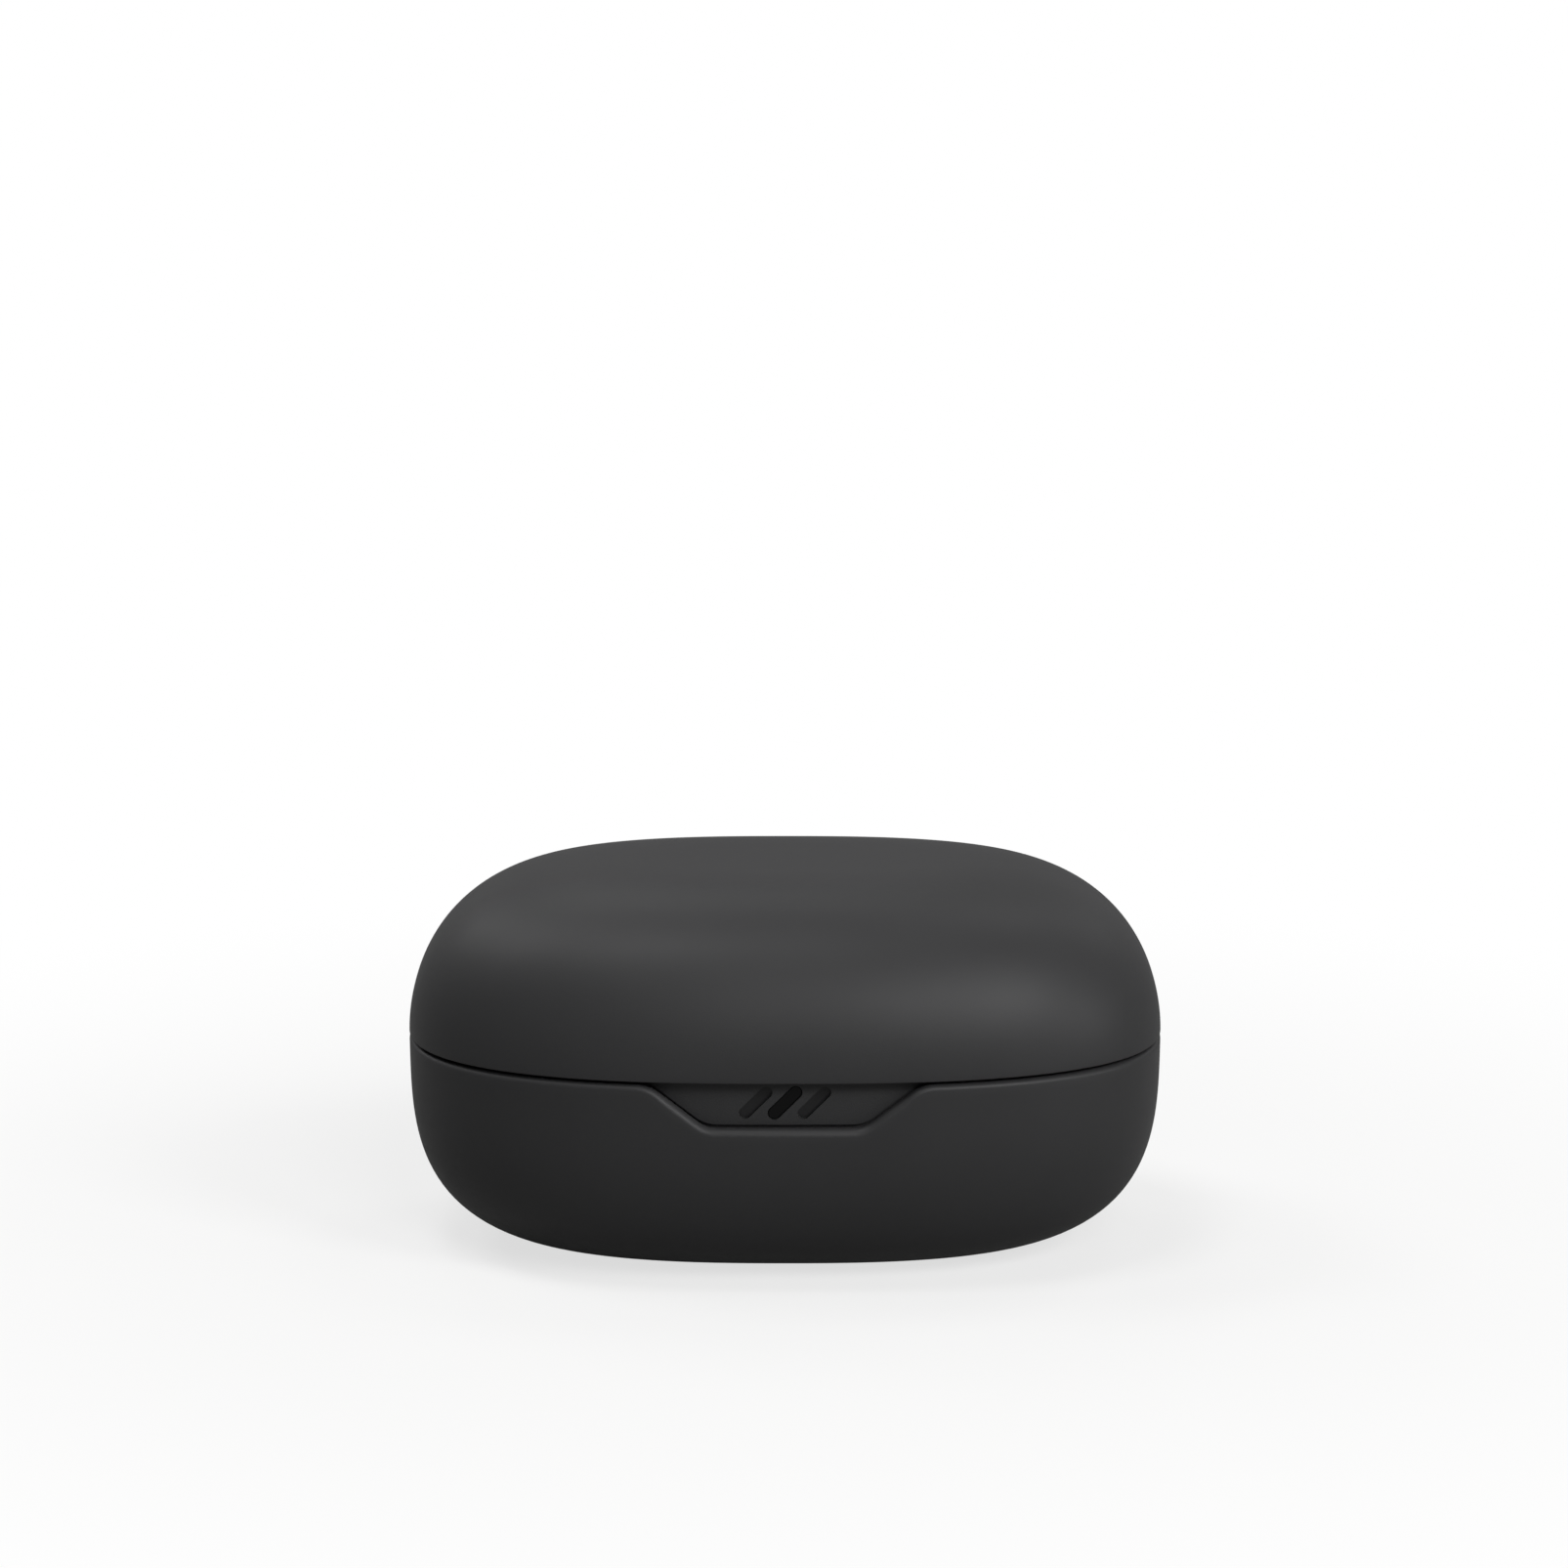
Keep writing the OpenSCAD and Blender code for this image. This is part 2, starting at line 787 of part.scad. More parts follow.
module hinge_pin() {
    color(steel)
        x_bar(pin_r, -half_hinge, half_hinge, hinge_y, hinge_z);
}

module lid_shell() {
    outer = [for (i = [side_steps : -1 : 1]) lid_ring(i, 0, case_h)];
    inner = [for (i = [0 : side_steps]) lid_ring(i, wall, roof_z)];
    side_relief_r = (outline_y(half_hinge, 0) - hinge_y) / swing + hinge_gap;
    color(shell_black)
        difference() {
            loft(concat(outer, edge_rings(lid_z, lid_edge_r, -1), inner));
            x_bar(lid_barrel_clear, -half_hinge - hinge_gap, half_hinge + hinge_gap, hinge_y, hinge_z);
            both_sides()
                translate([half_hinge, hinge_y, hinge_z])
                    rotate([0, 90, 0])
                        cylinder(r1 = side_relief_r, r2 = hinge_gap, h = relief_l);
        }
}

module lid_liner() {
    dome_top = roof_z - tray_fit;
    flange_top = flange_z + flange_t;
    reach = lid_reach(flange_top);
    flange_half_w = half_w - wall - lid_round_x * reach - tray_fit;
    flange_half_d = half_d - wall - lid_round_y * reach - tray_fit;
    skin = [for (i = [side_steps : -1 : 2]) dome_ring(i, dome_in - liner_t, dome_top)];
    flange = [
        [half_w - dome_in + liner_t, half_d - dome_in + liner_t, flange_top],
        [flange_half_w, flange_half_d, flange_top],
        [flange_half_w, flange_half_d, flange_z]
    ];
    inner = [for (i = [0 : side_steps]) dome_ring(i, dome_in, dome_top - liner_t)];
    color(tray_black)
        difference() {
            union() {
                difference() {
                    loft(concat(skin, flange, inner));
                    x_bar(barrel_r + lip_fit, -half_hinge - lip_fit, half_hinge + lip_fit, hinge_y, hinge_z);
                }
                x_bar(barrel_r, -half_knuckle, half_knuckle, hinge_y, hinge_z);
                translate([-half_knuckle, hinge_y - arm_l, hinge_z])
                    cube([knuckle_l, arm_l - arm_back, flange_top - hinge_z - touch]);
            }
            x_bar(pin_bore_r, -half_knuckle - over, half_knuckle + over, hinge_y, hinge_z);
        }
}

base_shell();
cradle_tray();
light_guide();
indicator_led();
led_board();
led_flex();
main_board();
usb_shell();
usb_tongue();
charge_chip();
power_inductor();
hall_sensor();
battery_cell();
battery_pad();
battery_leads();
board_screws();
tray_magnets();
earbud_magnets();
contact_barrels();
hinge_pin();
lid_shell();
lid_liner();
lid_magnets();
sensor_magnet();
contact_left_outer();
contact_left_inner();
contact_right_inner();
contact_right_outer();
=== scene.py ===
import json
import math

import bmesh
import bpy
import numpy as np
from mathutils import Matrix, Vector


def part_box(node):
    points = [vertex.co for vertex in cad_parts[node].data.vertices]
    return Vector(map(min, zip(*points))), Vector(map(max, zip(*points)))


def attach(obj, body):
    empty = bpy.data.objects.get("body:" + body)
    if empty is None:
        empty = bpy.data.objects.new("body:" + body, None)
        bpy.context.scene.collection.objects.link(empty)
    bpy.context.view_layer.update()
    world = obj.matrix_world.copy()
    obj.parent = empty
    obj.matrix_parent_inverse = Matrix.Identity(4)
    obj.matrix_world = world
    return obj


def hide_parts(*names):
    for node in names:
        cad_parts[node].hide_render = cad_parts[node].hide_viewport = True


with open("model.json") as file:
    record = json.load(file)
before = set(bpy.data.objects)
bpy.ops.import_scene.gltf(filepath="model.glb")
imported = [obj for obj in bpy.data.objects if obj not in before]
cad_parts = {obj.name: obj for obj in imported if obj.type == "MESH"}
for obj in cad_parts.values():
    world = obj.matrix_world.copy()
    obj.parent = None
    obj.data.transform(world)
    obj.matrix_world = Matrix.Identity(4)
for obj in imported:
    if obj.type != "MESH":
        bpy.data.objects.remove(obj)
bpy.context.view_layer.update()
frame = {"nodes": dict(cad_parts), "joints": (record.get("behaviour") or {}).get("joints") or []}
nodes = frame["nodes"]
mm = 0.001
quarter = math.pi / 2


# Lowest and highest corner of a node, in millimetres.
def nodeBox(name):
    low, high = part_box(name)
    return np.array(low) / mm, np.array(high) / mm


halfWidth, halfDepth, seam = nodeBox("base_shell")[1]
lidLow, lidHigh = nodeBox("lid_shell")
lidEdge, lidTop = lidLow[2], lidHigh[2]
hingeJoint = next(j for j in frame["joints"] if j["name"] == "lid_hinge")
hingeY, hingeZ = hingeJoint["pos_m"][1] / mm, hingeJoint["pos_m"][2] / mm
halfHinge = nodeBox("hinge_pin")[1][0]
print("frame loaded, case", 2 * halfWidth, "x", 2 * halfDepth, "x", lidTop, "mm")

# What the shells share, in mm
shells = {
    "outlinePower": 2.6,         # squareness of the outline, 2 would be an ellipse
    "wall": 1.3,
    "hingeGap": 0.2,
    "innerEdge": 0.12,           # rounding of the rims' inner edges
    "recessEdge": 0.1,           # rounding of the hinge recess
    "columns": 520,
    "closeReach": 13,            # up to this x the columns stand closer, by the next factor
    "closer": 1.7,
    "stepHalf": 0.02,            # half the width between the two columns at a step of the hinge recess
    "stepTurn": 0.002,           # the other columns keep this turn away from them, in radians
    "straightReach": (14, 24),   # x over which the inside columns go over from straight cuts to even rings
    "outlineSteps": 40001, "sideSteps": 4001,   # points on which lengths are measured
    "settleRounds": 4,           # a rim's place and its height settle each other
}
recessHalf = halfHinge + shells["hingeGap"]


# Values eased from 0 at a to 1 at b, by 3 t^2 - 2 t^3.
def eased(v, a, b):
    t = np.clip((v - a) / (b - a), 0, 1)
    return t * t * (3 - 2 * t)


# Outline of unit half sizes: |cos|^(2/power) across and |sin|^(2/power) in depth, with their signs.
def unitOutline(turn):
    p = 2 / shells["outlinePower"]
    c, s = np.cos(turn), np.sin(turn)
    return np.sign(c) * np.abs(c) ** p, np.sign(s) * np.abs(s) ** p


# Depth of an outline of half sizes a and b where it passes x: b (1 - |x/a|^power)^(1/power).
def outlineDepth(a, b, x):
    p = shells["outlinePower"]
    return b * np.maximum(1 - np.abs(x / a) ** p, 0) ** (1 / p)


# Turns of the columns round a shell: even along the outline's length, closer together at the front
# notch and the hinge, with a pair of columns at each step of the hinge recess.
def columnTurns():
    turn = np.linspace(0, 2 * np.pi, shells["outlineSteps"])
    x, y = unitOutline(turn)
    x, y = x * halfWidth, y * halfDepth
    weight = np.where(np.abs(x[1:]) < shells["closeReach"], shells["closer"], 1)
    path = np.concatenate([[0], np.cumsum(np.hypot(np.diff(x), np.diff(y)) * weight)])
    even = np.interp(np.linspace(0, path[-1], shells["columns"], endpoint=False), path, turn)
    stepX = recessHalf + shells["stepHalf"] * np.array([-1, 1])
    right = np.arccos((stepX / halfWidth) ** (shells["outlinePower"] / 2))
    marks = np.concatenate([right, math.pi - right])
    apart = np.abs(even[:, None] - marks).min(1)
    return np.sort(np.concatenate([even[apart > shells["stepTurn"]], marks]))


# Rounded side of a shell. At angle f, from 0 at the seam to a quarter turn at the flat, the height
# share is sin f to the power 2/powerZ and the reach inwards 1 - cos f to the power 2/powerR.
def sideAt(side, f):
    share = np.sin(f) ** (2 / side["powerZ"])
    reach = 1 - np.maximum(np.cos(f), 0) ** (2 / side["powerR"])
    a = halfWidth - side["inset"] - side["roundX"] * reach - side["draft"] * share
    b = halfDepth - side["inset"] - side["roundY"] * reach - side["draft"] * share
    return a, b, side["start"] + (side["end"] - side["start"]) * share


# Angle at which a side passes height z, the inverse of sideAt.
def angleAt(side, z):
    share = np.clip((z - side["start"]) / (side["end"] - side["start"]), 0, 1)
    return np.arcsin(share ** (side["powerZ"] / 2))


# Half sizes of a side's outline at height z.
def halvesAt(side, z):
    return sideAt(side, angleAt(side, z))[:2]


# Angles from each column's own first angle to the flat, evenly spaced along the side's length.
def evenAngles(side, first, rows):
    f = np.linspace(0, quarter, shells["sideSteps"])
    a, b, z = sideAt(side, f)
    length = np.concatenate([[0], np.cumsum(np.hypot(np.diff(a + b) / 2, np.diff(z)))])
    begin = np.interp(first, f, length)
    along = begin + (length[-1] - begin) * np.linspace(0, 1, rows)[:, None]
    return np.interp(along, length, f)


# Quads between neighbouring rows of a grid whose columns close on themselves, apart from cut blocks.
def gridFaces(rows, columns, blocks=()):
    r, c = np.arange(rows - 1)[:, None], np.arange(columns)[None, :]
    after = (c + 1) % columns
    corners = np.broadcast_arrays(r * columns + c, r * columns + after,
                                  (r + 1) * columns + after, (r + 1) * columns + c)
    keep = np.ones((rows - 1, columns), bool)
    for r0, r1, c0, c1 in blocks:
        keep[r0:r1, c0:c1] = False
    return np.stack(corners, -1)[keep]


# Fans that close the first and the last ring of a grid with the two points that follow it.
def poleFans(rows, columns):
    ring = np.arange(columns)
    after, last, pole = np.roll(ring, -1), (rows - 1) * columns, rows * columns
    return np.concatenate([np.stack([np.full(columns, pole), after, ring], -1),
                           np.stack([last + ring, last + after, np.full(columns, pole + 1)], -1)])


# Rows of points, one for each row of the given coordinates.
def rowsOf(x, y, z):
    return list(np.stack(np.broadcast_arrays(x, y, z), -1))


# Rows of points that shrink evenly from an outline to its middle, for a flat end.
def flatRows(a, b, z, across, deep, shares):
    share = np.array(shares)[:, None]
    return rowsOf(across * a * share, deep * b * share, z)


# Puts points in mm with quads and triangles into a mesh piece at the origin.
def makePiece(name, points, quads, triangles, body, material, replaced, slot):
    quads = np.asarray(quads, np.int64).reshape(-1, 4)
    triangles = np.asarray(triangles, np.int64).reshape(-1, 3)
    mesh = bpy.data.meshes.new(name)
    mesh.vertices.add(len(points))
    mesh.vertices.foreach_set("co", (np.asarray(points) * mm).astype(np.float32).ravel())
    loops = np.concatenate([quads.ravel(), triangles.ravel()]).astype(np.int32)
    sizes = np.concatenate([np.full(len(quads), 4), np.full(len(triangles), 3)])
    starts = np.concatenate([[0], np.cumsum(sizes)[:-1]]).astype(np.int32)
    mesh.loops.add(len(loops))
    mesh.loops.foreach_set("vertex_index", loops)
    mesh.polygons.add(len(sizes))
    mesh.polygons.foreach_set("loop_start", starts)
    mesh.update(calc_edges=True)
    mesh.validate()
    mesh.shade_smooth()
    mesh.materials.append(material)
    piece = bpy.data.objects.new(name, mesh)
    bpy.context.scene.collection.objects.link(piece)
    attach(piece, body)
    if replaced:
        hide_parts(*replaced)
    return piece


# sRGB hex to linear colour: each channel over 12.92 when small, else ((c + 0.055) / 1.055)^2.4.
def colour(code):
    c = np.array([int(code[i:i + 2], 16) for i in (1, 3, 5)]) / 255
    return (*np.where(c <= 0.04045, c / 12.92, ((c + 0.055) / 1.055) ** 2.4), 1.0)


# Adds a shader node with its settings, values and links.
def addNode(tree, kind, settings, inputs):
    made = tree.nodes.new(kind)
    for key, value in settings.items():
        setattr(made, key, value)
    for key, value in inputs.items():
        if isinstance(value, bpy.types.NodeSocket):
            tree.links.new(value, made.inputs[key])
        else:
            made.inputs[key].default_value = value
    return made


# Noise scale for features of a size in mm, on Object coordinates in metres.
def perSize(size):
    return 1 / (size * mm)


noise = {"mottleDetail": 3.0, "grainDetail": 2.0, "grainRoughness": 0.6}


# A material of two close colours and a fine relief: mottle is a slow change of colour and gloss of the
# given size, grain a relief of the given size and height, all in mm.
def finish(name, look):
    made = bpy.data.materials.new(name)
    made.use_nodes = True
    tree = made.node_tree
    shader = tree.nodes["Principled BSDF"]
    spot = addNode(tree, "ShaderNodeTexCoord", {}, {}).outputs["Object"]
    if "stretch" in look:
        stretched = addNode(tree, "ShaderNodeMapping", {}, {"Vector": spot, "Scale": look["stretch"]})
        spot = stretched.outputs["Vector"]
    mottle = addNode(tree, "ShaderNodeTexNoise", {},
                     {"Vector": spot, "Scale": perSize(look["mottle"]), "Detail": noise["mottleDetail"]})
    mixed = addNode(tree, "ShaderNodeMix", {"data_type": "RGBA"},
                    {0: mottle.outputs["Fac"], 6: colour(look["dark"]), 7: colour(look["light"])})
    smooth, dull = look["rough"]
    gloss = addNode(tree, "ShaderNodeMapRange", {},
                    {"Value": mottle.outputs["Fac"], "To Min": smooth, "To Max": dull})
    grain = addNode(tree, "ShaderNodeTexNoise", {},
                    {"Vector": spot, "Scale": perSize(look["grain"]),
                     "Detail": noise["grainDetail"], "Roughness": noise["grainRoughness"]})
    relief = addNode(tree, "ShaderNodeBump", {},
                     {"Height": grain.outputs["Fac"], "Strength": look["relief"],
                      "Distance": look["grain"] * mm})
    tree.links.new(mixed.outputs[2], shader.inputs["Base Color"])
    tree.links.new(gloss.outputs["Result"], shader.inputs["Roughness"])
    tree.links.new(relief.outputs["Normal"], shader.inputs["Normal"])
    for key, value in look["shader"].items():
        shader.inputs[key].default_value = value
    return made


# Soft-touch moulded polycarbonate: a dead matt charcoal skin that lifts towards grazing light. Its tooth is
# finer on the real one, and is drawn at 0.11 mm so that it shows.
softTouch = finish("softTouchMouldedPolycarbonate", {
    "dark": "#2f2f30", "light": "#323233", "mottle": 6, "rough": (0.47, 0.53),
    "grain": 0.11, "relief": 0.06, "shader": {"Specular IOR Level": 0.3, "IOR": 1.5},
})
# Spark-textured moulded ABS: a little darker and drier than the shells
tray = finish("sparkTexturedMouldedAbs", {
    "dark": "#2a2a2b", "light": "#2e2e2f", "mottle": 4, "rough": (0.5, 0.58),
    "grain": 0.1, "relief": 0.14, "shader": {"Specular IOR Level": 0.35, "IOR": 1.53},
})
# Moulded ABS against a polished pin: the same black and smooth, painted darker than the textured panel as
# shade for the recessed slot floors
polishedWithShade = finish("pinPolishedMouldedAbs", {
    "dark": "#1c1c1d", "light": "#202021", "mottle": 2, "rough": (0.3, 0.36),
    "grain": 0.3, "relief": 0.02, "shader": {"Specular IOR Level": 0.3, "IOR": 1.53},
})
# Polished smoked acrylic: near black with a wet gloss
smoked = finish("polishedSmokedAcrylic", {
    "dark": "#050505", "light": "#080809", "mottle": 2, "rough": (0.12, 0.18),
    "grain": 0.3, "relief": 0.02, "shader": {"Specular IOR Level": 0.2, "IOR": 1.49},
})
# Solder mask over glass laminate: satin green with a faint weave
board = finish("solderMaskedGlassLaminate", {
    "dark": "#153c28", "light": "#1f5236", "mottle": 0.9, "rough": (0.3, 0.4),
    "grain": 0.25, "relief": 0.15, "shader": {"IOR": 1.55},
})
# Moulded epoxy: dull black with fine speckle
epoxy = finish("mouldedEpoxy", {
    "dark": "#151516", "light": "#222224", "mottle": 0.4, "rough": (0.5, 0.65),
    "grain": 0.08, "relief": 0.3, "shader": {"IOR": 1.55},
})
# Cast white epoxy of a small lamp: milky and glossy
lampEpoxy = finish("castWhiteEpoxy", {
    "dark": "#e2dfcf", "light": "#f0eee2", "mottle": 0.6, "rough": (0.2, 0.3),
    "grain": 0.2, "relief": 0.05, "shader": {"IOR": 1.52},
})
# Polyimide film over copper: amber satin with the copper showing through in long lines
flex = finish("laminatedPolyimideFlex", {
    "dark": "#8a4a1f", "light": "#b8712f", "mottle": 0.5, "rough": (0.28, 0.36),
    "grain": 0.2, "relief": 0.05, "stretch": (1.0, 0.15, 0.15), "shader": {"IOR": 1.6},
})
# Drawn stainless steel: grey with fine lines along the draw
steel = finish("drawnStainlessSteel", {
    "dark": "#a9abae", "light": "#c3c5c8", "mottle": 0.5, "rough": (0.26, 0.36),
    "grain": 0.08, "relief": 0.06, "stretch": (0.12, 1.0, 1.0), "shader": {"Metallic": 1.0},
})
# Nickel-plated sintered magnet: bright, a little hazy
nickel = finish("nickelPlatedSinteredMagnet", {
    "dark": "#b4b3ae", "light": "#cbcac4", "mottle": 1.2, "rough": (0.18, 0.3),
    "grain": 0.1, "relief": 0.06, "shader": {"Metallic": 1.0},
})
# Gold-plated turned brass: warm and bright with turning haze
gold = finish("goldPlatedTurnedBrass", {
    "dark": "#d2a33f", "light": "#e6bd5c", "mottle": 0.4, "rough": (0.16, 0.26),
    "grain": 0.05, "relief": 0.05, "stretch": (0.3, 0.3, 1.0), "shader": {"Metallic": 1.0},
})
# Cold-formed aluminium laminate pouch: dull silver with soft creases
pouch = finish("coldFormedAluminiumLaminate", {
    "dark": "#9b9ea2", "light": "#b6b9bd", "mottle": 5, "rough": (0.3, 0.45),
    "grain": 1.2, "relief": 0.12, "shader": {"Metallic": 0.85},
})
# Cut closed-cell foam: dark grey with open pores at its cut faces
foam = finish("cutClosedCellFoam", {
    "dark": "#3e3e40", "light": "#5c5c5e", "mottle": 0.5, "rough": (0.85, 0.95),
    "grain": 0.35, "relief": 0.6, "shader": {"IOR": 1.45},
})
# Pressed ferrite: charcoal with a granular tooth
ferrite = finish("pressedFerrite", {
    "dark": "#3a3a3c", "light": "#4d4d50", "mottle": 0.5, "rough": (0.55, 0.7),
    "grain": 0.12, "relief": 0.4, "shader": {"IOR": 1.8},
})
# Extruded silicone lead: soft red with a waxy gloss
lead = finish("extrudedSiliconeLead", {
    "dark": "#9c1f1a", "light": "#b72b24", "mottle": 0.8, "rough": (0.4, 0.5),
    "grain": 0.15, "relief": 0.08, "shader": {"IOR": 1.41},
})
print("materials ready")

# Base shell in mm: a deep pebble with a thumb notch in front and a port behind
base = {
    "roundX": 18, "roundY": 14.5, "draft": 0.23, "powerZ": 3.4, "powerR": 2.56,
    "edge": 0.45,                # rounding of the outer edge at the seam
    "notchEdge": 0.62, "notchInner": 0.55,   # roundings of the notch's lip, outside and inside
    "notchBlend": (0.1, 1.2),    # drop below the seam over which the lip's roundings come in
    "notchTop": 11.5, "notchFoot": 6.4, "notchDrop": 3.85, "notchFootR": 2.8, "notchTopR": 3.2,
    "ledgeDrop": 5, "lowWall": 2.3, "floor": 1.4,
    "barrelClear": 1.7,
    "wallRows": 46, "bowlRows": 20, "edgeRows": 8, "innerRows": 7,
    "underShares": (0.15, 0.35, 0.6, 0.85), "floorShares": (0.66, 0.33),   # rings on the flats
    "rimShares": (0.33, 0.67, 1), "skirtShares": (0.35, 0.7, 1),           # rows across and down the wall
}
# Hole for the port in mm, and the rows of the collars that lead to it
port = {
    "fit": 0.22, "edge": 0.3, "besideCut": 1.1, "aboveCut": 0.8,
    "outShares": (0.4, 0.75), "edgeRows": 6, "inShares": (0.5, 1),
}


# Height of the base's rim in front: flat at the notch's floor, a slope, then flat at the seam, with
# both corners replaced by arcs that touch the straight lines.
def notchHeight(x):
    x = np.abs(x)
    low = lidEdge - base["notchDrop"]
    slope = math.atan2(base["notchDrop"], base["notchTop"] - base["notchFoot"])
    topX = base["notchFoot"] + (seam - low) / math.tan(slope)
    footR, topR = base["notchFootR"], base["notchTopR"]
    footX = base["notchFoot"] - footR * math.tan(slope / 2)
    endX = topX + topR * math.tan(slope / 2)
    line = low + (x - base["notchFoot"]) * math.tan(slope)
    footArc = low + footR - np.sqrt(np.maximum(footR ** 2 - (x - footX) ** 2, 0))
    topArc = seam - topR + np.sqrt(np.maximum(topR ** 2 - (endX - x) ** 2, 0))
    lineX, bendX = footX + footR * math.sin(slope), endX - topR * math.sin(slope)
    return np.select([x < footX, x < lineX, x < bendX, x < endX], [low, footArc, line, topArc], seam)


# Height of the base's rim: the notch in front, and behind it the round trough of the hinge.
def baseRim(x, y):
    room = base["barrelClear"] ** 2 - (y - hingeY) ** 2
    trough = (np.abs(x) < recessHalf) & (room > 0) & (y > 0)
    behind = np.where(trough, hingeZ - np.sqrt(np.maximum(room, 0)), seam)
    return np.where(y < 0, notchHeight(x), np.minimum(behind, seam))


# Where a ray from a slot's middle leaves the slot: on its flat if it gets there first, else on its
# round end, the far root of the ray's crossing with that circle.
def slotEdge(dx, dz, straight, radius):
    flat = radius / np.maximum(np.abs(dz), 1e-9)
    along = np.abs(dx) * straight / 2
    end = along + np.sqrt(np.maximum(along ** 2 - straight ** 2 / 4 + radius ** 2, 0))
    reach = np.where(flat * np.abs(dx) <= straight / 2, flat, end)
    return reach * dx, reach * dz


# Indices round a block of the grid, from its first corner along its first row.
def blockLoop(r0, r1, c0, c1, columns):
    r, c = np.arange(r0, r1), np.arange(c0, c1)
    return np.concatenate([r0 * columns + c, r * columns + c1,
                           r1 * columns + c[::-1] + 1, (r[::-1] + 1) * columns + c0])


# Quads between two loops of the same length.
def loopFaces(first, second):
    return np.stack([first, np.roll(first, -1), np.roll(second, -1), second], -1)


# Quads between each loop of a chain and the next.
def chainFaces(chain):
    return [loopFaces(first, second) for first, second in zip(chain, chain[1:])]


# How much the inside columns keep their x: wholly near the hinge and the notch, not at all at the ends.
def straightness(across):
    return 1 - eased(np.abs(across * halfWidth), *shells["straightReach"])


# Columns of the inside walls keep their x near the hinge and the notch, so that cuts go straight through.
def insidePoint(a, b, across, deep, keep):
    x = across * (a * (1 - keep) + halfWidth * keep)
    return x, np.sign(deep) * outlineDepth(a, b, x)


# Points of a side behind the middle, at x and z, sunk by a depth.
def behindPoints(side, x, z, sunk=0):
    return np.stack([x, outlineDepth(*halvesAt(side, z), x) - sunk, z], -1)


# Hole for the port: the same block of columns is cut from the wall and the bowl. Collars of rays from
# the port's middle lead from both cuts to the port's outline, rounded outside, and a sleeve joins them.
def cutPort(grid, across, deep, wallStart, bowlStart, outer, bowl):
    columns = len(across)
    low, high = nodeBox("usb_shell")
    middleZ = (low[2] + high[2]) / 2
    radius = (high[2] - low[2]) / 2 + port["fit"]
    straight = (high[0] - low[0]) - (high[2] - low[2])
    near = np.abs(across * halfWidth) < straight / 2 + radius + port["besideCut"]
    behind = np.flatnonzero((deep > 0) & near)
    c0, c1 = behind[0], behind[-1]
    centre = (c0 + c1) // 2
    wallZ = grid[wallStart:wallStart + base["wallRows"], centre, 2]
    r0 = wallStart + np.searchsorted(wallZ, middleZ - radius - port["aboveCut"]) - 1
    r1 = wallStart + np.searchsorted(wallZ, middleZ + radius + port["aboveCut"])
    bowlZ = grid[bowlStart:bowlStart + base["bowlRows"], centre, 2]
    spread = r1 - r0
    q0 = max(bowlStart + int(np.argmin(np.abs(bowlZ - middleZ))) - spread // 2, bowlStart)
    blocks = [(r0, r1, c0, c1), (q0, q0 + spread, c0, c1)]
    loop, inLoop = (blockLoop(*block, columns) for block in blocks)
    size = len(loop)
    mirror = (2 * (c1 - c0) + spread - np.arange(size)) % size
    cut, inCut = grid.reshape(-1, 3)[loop], grid.reshape(-1, 3)[inLoop]
    ray = cut[:, [0, 2]] - [0, middleZ]
    rayX, rayZ = (ray / np.linalg.norm(ray, axis=1)[:, None]).T
    rings = []
    wideX, wideZ = slotEdge(rayX, rayZ, straight, radius + port["edge"])
    for s in port["outShares"]:
        x, z = cut[:, 0] * (1 - s) + wideX * s, cut[:, 2] * (1 - s) + (wideZ + middleZ) * s
        rings.append(behindPoints(outer, x, z))
    for t in np.linspace(0, quarter, port["edgeRows"]):
        x, z = slotEdge(rayX, rayZ, straight, radius + port["edge"] * (1 - math.sin(t)))
        z = z + middleZ
        rings.append(behindPoints(outer, x, z, port["edge"] * (1 - math.cos(t))))
    outCount = len(rings)
    inX, inZ = x[mirror], z[mirror]
    for s in port["inShares"]:
        x, z = inCut[:, 0] * (1 - s) + inX * s, inCut[:, 2] * (1 - s) + inZ * s
        rings.append(behindPoints(bowl, x, z))
    first = len(grid) * columns + 2   # after the grid and its two poles
    index = first + np.arange(len(rings) * size).reshape(-1, size)
    outChain, inChain = [loop, *index[:outCount]], [inLoop, *index[outCount:]]
    sleeve = loopFaces(outChain[-1], inChain[-1][mirror])
    return blocks, np.concatenate(rings), chainFaces(outChain) + chainFaces(inChain) + [sleeve]


